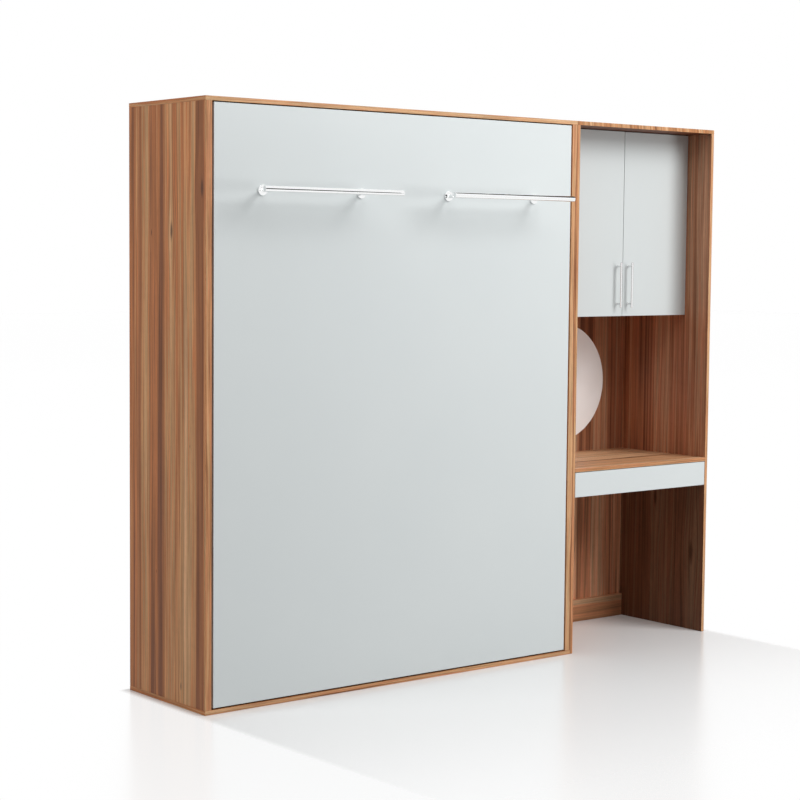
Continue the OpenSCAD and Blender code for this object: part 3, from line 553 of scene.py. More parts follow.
# The dark line at 0.4275 lies on the joint of the two units: partly a dark glue line, partly painted shade.
UPRIGHT_BAND = WalnutLaminate(
    "walnut_edge_band_upright", Grain.UPRIGHT_FACE, (0.11, 0.3), BAND, hearts_and_shade_lines=((0.4275, 0.003),), **BAND_SIZES
)
LEVEL_BAND = WalnutLaminate("walnut_edge_band_level", Grain.LEVEL_RAIL, (0.23, 0.3), BAND, **BAND_SIZES)
END_BAND = WalnutLaminate(
    "walnut_edge_band_end", Grain.END_BAND, (0.37, 0.3), stave_mm=16.0, band_mm=9.0, line_mm=3.0, knot_depth=0.0
)
PALE_LACQUER = SatinLacquer("satin_lacquer_pale")
# Painted shade: the doors have the panel's lacquer, made a little darker for the shade of their recess.
SHADED_DOOR_LACQUER = SatinLacquer("satin_lacquer_doors", "#D3D8D8", "#CED3D3")
WHITE_MELAMINE = SatinLacquer("white_melamine", "#E8E6E0", "#E2E0D9", (0.4, 0.44))
CHROME = PlatedMetal("polished_chrome", "#FCFDFD", rough=(0.04, 0.07))
SATIN_STEEL = PlatedMetal("satin_stainless_steel", "#F2F3F4", rough=(0.04, 0.09), stretch=(1, 1, 0.05))
ZINC = PlatedMetal("zinc_plated_steel", "#BFC3C6", rough=(0.28, 0.42), relief=0.05, grain_mm=6.0)
SCREW_ZINC = PlatedMetal("bright_zinc_screw", "#CFCFCB", rough=(0.2, 0.32), grain_mm=1.5)
ROD_CHROME = PlatedMetal("hard_chrome_rod", "#DADDE0", rough=(0.08, 0.14), stretch=(1, 1, 0.02))
BLACK_ENAMEL = CoatedSurface("black_enamel_strut", "#1E1F21", "#2A2B2E", (0.26, 0.38))
POWDER_COAT = CoatedSurface("dark_powder_coat", "#3C3E41", "#494B4E", (0.44, 0.56), 0.2)
POLYAMIDE = CoatedSurface("black_moulded_polyamide", "#232325", "#2C2C2F", (0.42, 0.54), 0.1)
ACETAL = CoatedSurface("natural_acetal_bush", "#E0DACB", "#D6CFBE", (0.34, 0.46), 0.04)
RUBBER = CoatedSurface("nitrile_rubber_buffer", "#1B1B1B", "#252525", (0.69, 0.81), 0.3)
# Timber whose grain stands upright.
UPWARD = (1.0, 1.0, 0.025)
BIRCH = PaleTimber("peeled_birch_slat")
BEAM_BIRCH = PaleTimber("birch_beam", stretch=UPWARD)
SPRUCE = PaleTimber("sawn_spruce_stop", "#D9B98C", "#B08B5C", grain_mm=5.0, stretch=UPWARD)
MIRROR_GLASS = SilveredGlass("silvered_float_glass")


def stand(name: str, data: bpy.types.ID) -> Piece:
    """Make an object at the origin and link it to the scene.

    Args:
        name: The object's name.
        data: Its mesh, lamp or camera.

    Returns:
        The new object.
    """
    made = bpy.data.objects.new(name, data)
    bpy.context.scene.collection.objects.link(made)
    return made


def discard(piece: Piece) -> None:
    """Remove a helper object and its mesh."""
    data = piece.data
    bpy.data.objects.remove(piece)
    bpy.data.meshes.remove(data)


def mesh_piece(name: str, mesh: bmesh.types.BMesh, smooth: bool = False) -> Piece:
    """Turn a bmesh into an object at the origin and free the bmesh.

    Args:
        name: The object's name.
        mesh: The shape, in place.
        smooth: Whether its faces are shaded smooth.

    Returns:
        The new object.
    """
    data = bpy.data.meshes.new(name)
    mesh.to_mesh(data)
    mesh.free()
    for polygon in data.polygons:
        polygon.use_smooth = smooth
    return stand(name, data)


def settle(piece: Piece) -> Piece:
    """Bake a piece's modifiers into a plain mesh and remove them.

    Args:
        piece: The object with its modifiers on it.

    Returns:
        The same object, with the finished mesh.
    """
    depsgraph = bpy.context.evaluated_depsgraph_get()
    done = bpy.data.meshes.new_from_object(piece.evaluated_get(depsgraph), depsgraph=depsgraph)
    old = piece.data
    piece.modifiers.clear()
    piece.data = done
    bpy.data.meshes.remove(old)
    return piece


def block(name: str, low: Sequence[float], high: Sequence[float]) -> Piece:
    """Make a block between two corners.

    Args:
        name: The object's name.
        low: The corner with the lowest coordinates.
        high: The corner with the highest.

    Returns:
        The block.
    """
    mesh = bmesh.new()
    bmesh.ops.create_cube(mesh, size=1.0)
    low, high = Vector(low), Vector(high)
    bmesh.ops.scale(mesh, vec=high - low, verts=mesh.verts)
    bmesh.ops.translate(mesh, vec=(low + high) / 2, verts=mesh.verts)
    return mesh_piece(name, mesh)


def soften(piece: Piece, width: float) -> None:
    """Round a piece's edges.

    Args:
        piece: The object.
        width: The width of the rounding.
    """
    bevel = piece.modifiers.new("edge", "BEVEL")
    bevel.width, bevel.segments = width, 2
    bevel.limit_method, bevel.angle_limit = "ANGLE", math.radians(30)
    bevel.harden_normals = False
    settle(piece)


def carve(piece: Piece, cutters: Sequence[Piece]) -> None:
    """Cut the cutters out of a piece, bake it and remove the cutters.

    Args:
        piece: The object to cut.
        cutters: Closed objects to take away from it.
    """
    for cutter in cutters:
        cut = piece.modifiers.new("cut", "BOOLEAN")
        cut.operation, cut.solver, cut.object = "DIFFERENCE", "EXACT", cutter
    if cutters:
        settle(piece)
    for cutter in cutters:
        discard(cutter)


def lathe(name: str, outline: Sequence[Spot], foot: Sequence[float], axis: Point, steps: int) -> Piece:
    """Turn an outline about an axis into a closed piece.

    Args:
        name: The object's name.
        outline: Pairs of radius and height in metres, from one end of the axis to the other.
        foot: Where the height is zero.
        axis: The direction in which the height grows.
        steps: Faces round the piece.

    Returns:
        The turned object.
    """
    mesh = bmesh.new()
    turn = Vector(UP).rotation_difference(Vector(axis)).to_matrix().to_4x4()
    place = Matrix.Translation(foot) @ turn
    circle = [(math.cos(math.tau * i / steps), math.sin(math.tau * i / steps)) for i in range(steps)]
    rings = []
    for radius, height in outline:
        # A point on the axis itself closes the piece with a single corner.
        spots = circle if radius > 0 else [(0.0, 0.0)]
        rings.append([mesh.verts.new(place @ Vector((radius * x, radius * y, height))) for x, y in spots])
    for lower, upper in zip(rings, rings[1:]):
        for i in range(steps):
            j = (i + 1) % steps
            corners = ((lower, i), (lower, j), (upper, j), (upper, i))
            unique = list(dict.fromkeys(ring[k % len(ring)] for ring, k in corners))
            if len(unique) > 2:
                mesh.faces.new(unique)
    bmesh.ops.recalc_face_normals(mesh, faces=mesh.faces)
    piece = mesh_piece(name, mesh, smooth=True)
    piece.data.set_sharp_from_angle(angle=math.radians(35))
    return piece


def both_ends(near: Sequence[Spot], length: float) -> list[Spot]:
    """Return the outline of a turned rod whose far end mirrors its near end."""
    return [*near, *((radius, length - height) for radius, height in reversed(near))]


def joined(name: str, pieces: Sequence[Piece]) -> Piece:
    """Join several pieces into one mesh object.

    Args:
        name: The new object's name.
        pieces: Objects at the origin, all in place.

    Returns:
        One object that holds all their meshes.
    """
    with bpy.context.temp_override(
        active_object=pieces[0], selected_editable_objects=list(pieces), selected_objects=list(pieces)
    ):
        bpy.ops.object.join()
    pieces[0].name = name
    return pieces[0]


def coat(piece: Piece, finish: Finish) -> None:
    """Give a piece one finish all over."""
    piece.data.materials.clear()
    piece.data.materials.append(finish.material())


def finish_piece(piece: Piece, finish: Finish, slot: str, body: Body, *nodes: str) -> None:
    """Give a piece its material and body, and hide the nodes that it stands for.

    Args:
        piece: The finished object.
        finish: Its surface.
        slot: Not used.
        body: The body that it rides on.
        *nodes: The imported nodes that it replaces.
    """
    coat(piece, finish)
    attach(piece, body.value)
    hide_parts(*nodes)
    log.info("%s rides on %s, %d faces", piece.name, body.value, len(piece.data.polygons))


def dress(finish: Finish, *nodes: str) -> None:
    """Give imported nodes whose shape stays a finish.

    Args:
        finish: Their surface.
        *nodes: The nodes' names.
    """
    for node in nodes:
        coat(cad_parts[node], finish)
        log.info("%s keeps its shape, in %s", node, finish.name)


@dataclass(frozen=True)
class Board:
    """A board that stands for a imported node, with softened edges and any rabbet or bores cut in it."""

    node: str
    finish: Finish
    slot: str
    body: Body
    edge: float = BOARD_EDGE
    rabbet: tuple[Point, Point] | None = None
    front_band: Finish | None = None
    end_band: Finish | None = None
    shaded_under: Finish | None = None

    def band(self, piece: Piece) -> None:
        """Put the edge bands on the faces that look along Y and X, and painted shade, a darker copy of the print, on
        the faces that look down.

        Args:
            piece: The board's object.
        """
        for finish, toward in (
            (self.front_band, lambda normal: abs(normal.y)),
            (self.end_band, lambda normal: abs(normal.x)),
            (self.shaded_under, lambda normal: -normal.z),
        ):
            if finish is None:
                continue
            piece.data.materials.append(finish.material())
            for face in piece.data.polygons:
                if toward(face.normal) > 0.75:
                    face.material_index = len(piece.data.materials) - 1

    def build(self, cutters: Sequence[Piece] = ()) -> None:
        """Build the board in its node's place.

        Args:
            cutters: More closed objects to cut away, such as bores.
        """
        piece = block(self.node + "_board", *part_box(self.node))
        if self.rabbet:
            cutters = [block("cutter", *(at(*corner) for corner in self.rabbet)), *cutters]
        carve(piece, cutters)
        soften(piece, self.edge)
        finish_piece(piece, self.finish, self.slot, self.body, self.node)
        self.band(piece)


def grow(name: str, mesh: bpy.types.Mesh, tree: bpy.types.NodeTree, values: dict[str, Any]) -> Piece:
    """Run a geometry tree on a mesh and bake what it makes.

    Args:
        name: The new piece's name.
        mesh: The mesh that goes into the tree.
        tree: The geometry tree.
        values: The tree's inputs by name.

    Returns:
        The new piece, a plain mesh.
    """
    piece = stand(name, mesh)
    nodes = piece.modifiers.new("grow", "NODES")
    nodes.node_group = tree
    for item in tree.interface.items_tree:
        if item.name in values:
            nodes[item.identifier] = values[item.name]
    return settle(piece)


@dataclass
class Scatter:
    """A geometry tree that sets one shape at each point of a mesh, turned to that point's direction."""

    name: str
    scale: float = 1.0
    turn_spread: float = math.tau

    def tree(self) -> bpy.types.NodeTree:
        """Return the tree, made on first use: points in, one turned shape on each out."""
        found = bpy.data.node_groups.get(self.name)
        if found:
            return found
        sizes = {"Scale": "Float", "Turn spread": "Float", "Seed": "Int"}
        kinds = {"Points": "Geometry", "Shape": "Object", **sizes, "Finish": "Material"}
        graph, given = Graph.group(self.name, kinds)
        shape = graph.add("GeometryNodeObjectInfo", {"Object": given["Shape"]})
        facing = graph.add("GeometryNodeInputNamedAttribute", {"Name": "facing"}, data_type="FLOAT_VECTOR")
        toward = graph.get("FunctionNodeAlignRotationToVector", {"Vector": facing.outputs["Attribute"]}, axis="Z")
        limits = {"Min": 0.0, "Max": given["Turn spread"], "Seed": given["Seed"]}
        spin = graph.add("FunctionNodeRandomValue", limits, data_type="FLOAT").outputs["Value"]
        about = graph.get("FunctionNodeAxisAngleToRotation", {"Axis": UP, "Angle": spin})
        turned = graph.get(
            "FunctionNodeRotateRotation", {"Rotation": toward, "Rotate By": about}, rotation_space="LOCAL"
        )
        placed = graph.get(
            "GeometryNodeInstanceOnPoints",
            {"Points": given["Points"], "Instance": shape.outputs["Geometry"], "Rotation": turned},
        )
        sized = graph.get("GeometryNodeScaleInstances", {"Instances": placed, "Scale": given["Scale"]})
        return graph.deliver(sized, given["Finish"])

    def build(
        self, name: str, shape: Piece, places: Sequence[tuple[Vector, Point]], finish: Finish, seed: int
    ) -> Piece:
        """Set the shape at each place.

        Args:
            name: The new piece's name.
            shape: The object to repeat; it is removed afterwards.
            places: Points with the direction in which the shape's +Z looks.
            finish: The surface.
            seed: The seed for the turn of each one.

        Returns:
            A plain mesh with all the repeats.
        """
        mesh = bpy.data.meshes.new(name)
        mesh.from_pydata([p for p, _ in places], [], [])
        facing = mesh.attributes.new("facing", "FLOAT_VECTOR", "POINT")
        facing.data.foreach_set("vector", [c for _, direction in places for c in direction])
        values = {"Shape": shape, "Scale": self.scale, "Turn spread": self.turn_spread, "Seed": seed}
        piece = grow(name, mesh, self.tree(), {**values, "Finish": finish.material()})
        discard(shape)
        return piece


SCATTER = Scatter("repeat_at_points")


def screw_shape(head_d: float, depth: float, recess: float) -> Piece:
    """Return a countersunk head with a cross recess, its face at the origin and looking along +Z.

    Args:
        head_d: The head's diameter.
        depth: The head's height.
        recess: The recess's length across.

    Returns:
        The head.
    """
    r, rim = head_d / 2, 0.15 * MM
    outline = [(0.0, -depth), (r / 2, -depth), (r, -rim), (r - 0.1 * MM, 0.0), (0.0, 0.0)]
    head = lathe("screw_head", outline, (0, 0, 0), UP, steps=20)
    arm, slot, deep = recess / 2, recess * 0.14, depth * 0.6
    cross = ((arm, slot), (slot, arm))
    carve(head, [block("cutter", (-x, -y, -deep), (x, y, 1 * MM)) for x, y in cross])
    return head


def bolt_shape(head_d: float, height: float, socket_d: float) -> Piece:
    """Return a low button head with a hexagon socket, seated at the origin and looking along +Z.

    Args:
        head_d: The head's diameter.
        height: The head's height.
        socket_d: The socket's width across its corners.

    Returns:
        The head.
    """
    crown = ((1.0, 0.0), (1.0, 0.35), (0.93, 0.7), (0.72, 1.0))
    outline = [(0.0, 0.0), *((head_d / 2 * wide, height * high) for wide, high in crown), (0.0, height)]
    head = lathe("bolt_head", outline, (0, 0, 0), UP, steps=28)
    socket, r = bmesh.new(), socket_d / 2
    bmesh.ops.create_cone(socket, cap_ends=True, segments=6, radius1=r, radius2=r, depth=height * 1.4)
    bmesh.ops.translate(socket, vec=(0, 0, height), verts=socket.verts)
    carve(head, [mesh_piece("cutter", socket)])
    return head


@dataclass
class Carcasses:
    """The two cabinets: boards, backs and rails, and the bolts that hold them together."""

    upright_edge: float = 1.4 * MM
    desk_edge: float = 0.8 * MM
    bolt_head_d: float = 16 * MM
    bolt_head_t: float = 2 * MM
    bolt_socket_d: float = 7 * MM
    bolt_xs: Spot = (1772.0, 1816.0)
    bolt_y: float = 450.0
    bolt_zs: tuple[float, ...] = (198.0, 902.0, 1496.0, 2002.0)
    side_faces: Spot = (28.0, 1772.0)
    vanity_faces: Spot = (1816.0, 2604.0)
    level_faces: Spot = (16.0, 2184.0)
    rabbet_w: float = 9.0
    overcut: float = 4.0
    side_cut_zs: Spot = (10.0, 2190.0)
    vanity_cut_zs: Spot = (-4.0, 2190.0)

    def below(self, face: float) -> Spot:
        """Return the reach of a rabbet in the board that ends at a face, from inside the board outwards."""
        return face - self.rabbet_w, face + self.overcut

    def above(self, face: float) -> Spot:
        """Return the reach of a rabbet in the board that starts at a face."""
        return face - self.overcut, face + self.rabbet_w

    def boards(self) -> list[Board]:
        """Return the carcass boards with their rabbets, in millimetres from the drawing corner."""
        held = ("walnut_board", Body.CABINET)
        upright = {"edge": self.upright_edge, "front_band": UPRIGHT_BAND}
        level = {"front_band": LEVEL_BAND, "end_band": END_BAND}

        def rabbet(xs: Spot, zs: Spot) -> tuple[Point, Point]:
            """Return a rabbet's corners, at the depth of the backs."""
            low, high = zip(xs, RABBET_YS, zs)
            return low, high

        (left, right), (bottom, top) = self.side_faces, self.level_faces
        vanity_left, vanity_right = self.vanity_faces
        across = left - self.rabbet_w, right + self.rabbet_w
        vanity_across = vanity_left - self.rabbet_w, vanity_right + self.rabbet_w
        cuts = {
            "side_left": rabbet(self.below(left), self.side_cut_zs),
            "side_right": rabbet(self.above(right), self.side_cut_zs),
            "top": rabbet(across, self.above(top)),
            "bottom": rabbet(across, self.below(bottom)),
            "vanity_left": rabbet(self.below(vanity_left), self.vanity_cut_zs),
            "vanity_right": rabbet(self.above(vanity_right), self.vanity_cut_zs),
            "vanity_top": rabbet(vanity_across, self.above(top)),
        }

        return [
            Board("cabinet_side_left", SIDE_WALNUT, *held, rabbet=cuts["side_left"], **upright),
            Board("cabinet_side_right", SIDE_WALNUT_RIGHT, *held, rabbet=cuts["side_right"], **upright),
            Board("cabinet_top", TOP_WALNUT, *held, rabbet=cuts["top"], **level),
            Board("cabinet_bottom", BOTTOM_WALNUT, *held, rabbet=cuts["bottom"], **level),
            Board("vanity_side_left", VANITY_WALNUT_LEFT, *held, rabbet=cuts["vanity_left"], **upright),
            Board("vanity_side_right", VANITY_WALNUT_RIGHT, *held, rabbet=cuts["vanity_right"], **upright),
            # The vanity top's underside has the painted shade.
            Board("vanity_top", DEEP_WALNUT, *held, rabbet=cuts["vanity_top"], shaded_under=SHADED_UNDERSIDE_WALNUT),
            Board("desk_top", DESK_WALNUT, *held, self.desk_edge, **level),
            Board("upper_cabinet_floor", BOTTOM_WALNUT, *held, **level),
            Board("shelf", WHITE_MELAMINE, "white_melamine", Body.CABINET),
            Board("vanity_foot_rail", RAIL_WALNUT, "walnut_back", Body.CABINET),
            Board("cabinet_foot_rail", RAIL_WALNUT, "walnut_back", Body.CABINET),
        ]

    def bolts(self) -> None:
        """Build the heads of the bolts between the two units, on both sides."""
        ends = tuple(zip(self.bolt_xs, (LEFT, RIGHT)))
        places = [(at(x, self.bolt_y, z), look) for z in self.bolt_zs for x, look in ends]
        shape = bolt_shape(self.bolt_head_d, self.bolt_head_t, self.bolt_socket_d)
        piece = SCATTER.build("unit_bolt_heads", shape, places, SCREW_ZINC, seed=11)
        finish_piece(piece, SCREW_ZINC, "screw_steel", Body.CABINET, "unit_bolts")

    def build(self) -> None:
        """Build both carcasses."""
        for board in self.boards():
            board.build()
        self.bolts()
        dress(BACK_WALNUT, "cabinet_back_panel")
        dress(VANITY_BACK_WALNUT, "vanity_back_panel")
        dress(RAIL_WALNUT, "cabinet_wall_rail", "vanity_wall_rail")
        dress(SPRUCE, "closing_stops")
        dress(RUBBER, "closing_buffers")
        dress(ZINC, "shelf_supports")


@dataclass
class LiftMechanism:
    """Pivot plates with their pins, strut brackets, gas struts, and the bed's arms."""

    screw_head: Point = (10 * MM, 2.5 * MM, 4.6 * MM)
    bolt_head: Point = (15.2 * MM, 3.5 * MM, 5.8 * MM)
    sleeve_head: Point = (15.2 * MM, 1.5 * MM, 5.8 * MM)
    plate_face_x: float = 32.0
    arm_face_x: float = 71.0
    rail_face_x: float = 95.0
    pivot: Spot = (37.0, 188.5)
    stud: Spot = (60.0, 850.0)
    plate_low: Spot = (20.0, -60.0)
    plate_screws: tuple[Spot, ...] = ((66, 14), (66, 60), (66, 106), (14, 140), (66, 186), (14, 186))
    bracket_size: Spot = (60.0, 90.0)
    bracket_screws: tuple[Spot, ...] = ((12, 12), (48, 12), (12, 78), (48, 78))
    lever_reach: float = 200.0
    lever_droop: float = math.radians(20)
    arm_foot: Spot = (120.0, 448.5)
    lever_share: float = 0.45
    foot_shares: Point = (0.34368, 0.75, 1.0)

    def mirrored(self, x: float, look: Point, spots: Iterable[Spot]) -> list[tuple[Vector, Point]]:
        """Return places on both sides of the cabinet.

        Args:
            x: How far in from the left they lie.
            look: The direction in which the left ones look.
            spots: Pairs of Y and Z.

        Returns:
            The left places, then the right ones.
        """
        spots = list(spots)
        left = [(at(x, *spot), look) for spot in spots]
        return left + [(at(CABINET_W - x, *spot), (-look[0], 0, 0)) for spot in spots]

    def screw_spots(self) -> list[Spot]:
        """Return the plate screws' and bracket screws' places."""
        low = (self.stud[0] - self.bracket_size[0] / 2, self.stud[1] - self.bracket_size[1] / 2)
        plate = (self.plate_low[0], self.pivot[1] + self.plate_low[1])
        flat = [(plate[0] + y, plate[1] + z) for y, z in self.plate_screws]
        return flat + [(low[0] + y, low[1] + z) for y, z in self.bracket_screws]

    def bolt_spots(self) -> list[Spot]:
        """Return the arm bolts' places, along the lever and along the arm."""
        y, z = self.pivot
        run, drop = math.cos(self.lever_droop), math.sin(self.lever_droop)
        lever = (y + self.lever_reach * run, z - self.lever_reach * drop)
        along = [(lever, self.lever_share), *((self.arm_foot, share) for share in self.foot_shares)]
        return [(y + share * (end[0] - y), z + share * (end[1] - z)) for end, share in along]

    def build(self) -> None:
        """Build the screws and bolts and dress the steelwork."""
        screws = self.mirrored(self.plate_face_x, RIGHT, self.screw_spots())
        heads = self.mirrored(self.arm_face_x, LEFT, self.bolt_spots())
        sleeves = self.mirrored(self.rail_face_x, RIGHT, self.bolt_spots())
        for name, shape, places, seed, body, node in (
            ("plate_screw_heads", screw_shape(*self.screw_head), screws, 3, Body.CABINET, "plate_screws"),
            ("arm_bolt_heads", bolt_shape(*self.bolt_head), heads, 5, Body.BED, "arm_bolts"),
            ("arm_bolt_sleeves", bolt_shape(*self.sleeve_head), sleeves, 6, Body.BED, "arm_bolts"),
        ):
            piece = SCATTER.build(name, shape, places, SCREW_ZINC, seed)
            finish_piece(piece, SCREW_ZINC, "screw_steel", body, node)
        dress(ZINC, "pivot_plates", "strut_brackets")
        dress(POWDER_COAT, "bed_arm_left", "bed_arm_right")
        dress(ACETAL, "pivot_bushes")
        dress(BLACK_ENAMEL, "strut_tube_left", "strut_tube_right")
        dress(ROD_CHROME, "strut_rod_left", "strut_rod_right")


@dataclass
class SlatField:
    """Two columns of sprung slats, each a bowed, round-edged strip drawn along an arc."""

    rows: int = 14
    width: float = 68 * MM
    thickness: float = 8 * MM
    bow: float = 12 * MM
    length: float = 784 * MM
    pitch: float = 2000 * MM / 14
    edge_r: float = 2.5 * MM
    seat_y: float = 71.0
    first_z: float = 135.0 + 2000 / 28
    column_xs: Spot = (98.0, 918.0)
    arc_steps: int = 25
    edge_steps: int = 3

    def tree(self) -> bpy.types.NodeTree:
        """Build the tree that draws one slat along its arc and repeats it in rows and columns."""
        sizes = ("Length", "Width", "Thickness", "Bow", "Edge radius", "Pitch", "Column gap")
        kinds = {"Rows": "Int", "Start": "Vector", "Finish": "Material"}
        graph, given = Graph.group("sprung_slats", dict.fromkeys(sizes, "Float") | kinds)
        line = graph.get("GeometryNodeCurvePrimitiveLine", {"End": graph.vector(given["Length"])})
        steps = graph.get("GeometryNodeResampleCurve", {"Curve": line, "Count": self.arc_steps})
        share = graph.add("GeometryNodeSplineParameter").outputs["Factor"]
        centred = graph.calc("MULTIPLY_ADD", share, 2.0, -1.0)
        rise = graph.calc("SUBTRACT", 1.0, graph.calc("MULTIPLY", centred, centred))
        lift = graph.vector(0.0, graph.calc("MULTIPLY", rise, given["Bow"]))
        arc = graph.get("GeometryNodeSetPosition", {"Geometry": steps, "Offset": lift})
        upright = graph.get("GeometryNodeSetCurveNormal", {"Curve": arc}, mode="Z_UP")
        section = {"Width": given["Thickness"], "Height": given["Width"]}
        strip = graph.get("GeometryNodeCurvePrimitiveQuadrilateral", section, mode="RECTANGLE")
        corner = {"Curve": strip, "Count": self.edge_steps, "Radius": given["Edge radius"]}
        rounded = graph.get("GeometryNodeFilletCurve", corner, mode="POLY")
        drawn = {"Curve": upright, "Profile Curve": rounded, "Fill Caps": True}
        solid = graph.get("GeometryNodeCurveToMesh", drawn)
        row = {"Start Location": given["Start"], "Offset": graph.vector(0.0, 0.0, given["Pitch"])}
        column = graph.get("GeometryNodeMeshLine", {"Count": given["Rows"], **row}, mode="OFFSET")
        aside = {"Geometry": column, "Translation": graph.vector(given["Column gap"])}
        both = graph.add("GeometryNodeJoinGeometry")
        for points in (column, graph.get("GeometryNodeTransform", aside)):
            graph.tree.links.new(points, both.inputs[0])
        spots = {"Points": both.outputs[0], "Instance": solid}
        return graph.deliver(graph.get("GeometryNodeInstanceOnPoints", spots), given["Finish"])

    def build(self) -> None:
        """Build all the slats as one mesh on the bed."""
        values = {
            "Length": self.length,
            "Width": self.width,
            "Thickness": self.thickness,
            "Bow": self.bow,
            "Edge radius": self.edge_r,
            "Rows": self.rows,
            "Pitch": self.pitch,
            "Column gap": (self.column_xs[1] - self.column_xs[0]) * MM,
            "Start": at(self.column_xs[0], self.seat_y + self.thickness / MM / 2, self.first_z),
            "Finish": BIRCH.material(),
        }
        piece = grow("sprung_slats", bpy.data.meshes.new("sprung_slats"), self.tree(), values)
        piece.data.shade_smooth()
        piece.data.set_sharp_from_angle(angle=math.radians(40))
        finish_piece(piece, BIRCH, "birch", Body.BED, "slats")


@dataclass
class Bed:
    """The bed: its pale front panel, the box behind it, the slats and the mattress retainer."""

    panel_edge: float = 1.0 * MM
    beam_edge: float = 1.5 * MM

    def build(self) -> None:
        """Build the panel and the box, and dress what stays."""
        Board("bed_front_panel", PALE_LACQUER, "panel_lacquer", Body.BED, self.panel_edge).build()
        Board("bed_rail_left", BED_WALNUT, "rail_board", Body.BED).build()
        Board("bed_rail_right", BED_WALNUT, "rail_board", Body.BED).build()
        Board("centre_beam", BEAM_BIRCH, "birch", Body.BED, self.beam_edge).build()
        SlatField().build()
        dress(BED_END_WALNUT, "bed_end_rails")
        dress(POLYAMIDE, "slat_holders")
        dress(ZINC, "mattress_retainer")


@dataclass
class FootBars:
    """Two chrome bars on two posts each: pull handles when the bed is up, feet when it is down."""

    offset: float = 436.0
    z: float = 1877.0
    reach: float = 140.0
    length: float = 623.0
    bar_r: float = 11.0
    wall: float = 1.5 * MM
    rim: float = 0.5 * MM
    sunk: float = 1.2 * MM
    post_r: float = 7.0
    post_gap: float = 447.0
    post_sunk: float = 1.2
    flange_r: float = 19.5
    flange_t: float = 6.0
    flange_round: tuple[Spot, ...] = ((0.0, 1.8), (0.6, 0.6), (1.8, 0.0))
    fillet: tuple[Spot, ...] = ((2.4, 0.0), (0.9, 0.5), (0.0, 2.2))

    def bar(self, name: str, middle_x: float) -> Piece:
        """Build one tube with its sunk end faces.

        Args:
            name: The piece's name.
            middle_x: Where its middle lies, in millimetres from the drawing corner.

        Returns:
            The tube.
        """
        r, rim, inner = self.bar_r * MM, self.rim, self.bar_r * MM - self.wall
        near = [(0.0, self.sunk), (inner - rim, self.sunk), (inner, rim), (inner + rim, 0.0), (r - rim, 0.0), (r, rim)]
        foot = at(middle_x - self.length / 2, -self.reach, self.z)
        return lathe(name, both_ends(near, self.length * MM), foot, RIGHT, steps=64)

    def post(self, name: str, x: float) -> Piece:
        """Build one post with its flange and the fillet between them.

        Args:
            name: The piece's name.
            x: Millimetres from the drawing corner.

        Returns:
            The post.
        """
        f, t, p = self.flange_r * MM, self.flange_t * MM, self.post_r * MM
        top = (self.reach - self.bar_r + self.post_sunk) * MM
        flange = [(0.0, 0.0), (f, 0.0), *((f - inward * MM, t - down * MM) for inward, down in self.flange_round)]
        fillet = [(p + out * MM, t + rise * MM) for out, rise in self.fillet]
        return lathe(name, [*flange, *fillet, (p, top), (0.0, top)], at(x, 0, self.z), FORWARD, steps=48)

    def build(self) -> None:
        """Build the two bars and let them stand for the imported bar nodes."""
        kinds = ("bars", "bar_posts", "bar_flanges", "bar_caps")
        for name, side in (("foot_bar_left", -1), ("foot_bar_right", 1)):
            middle = CABINET_W / 2 + side * self.offset
            posts = [self.post(name + "_post", middle + end * self.post_gap / 2) for end in (-1, 1)]
            piece = joined(name, [self.bar(name + "_bar", middle), *posts])
            finish_piece(piece, CHROME, "chrome_bar", Body.BED, *("foot_" + kind for kind in kinds))


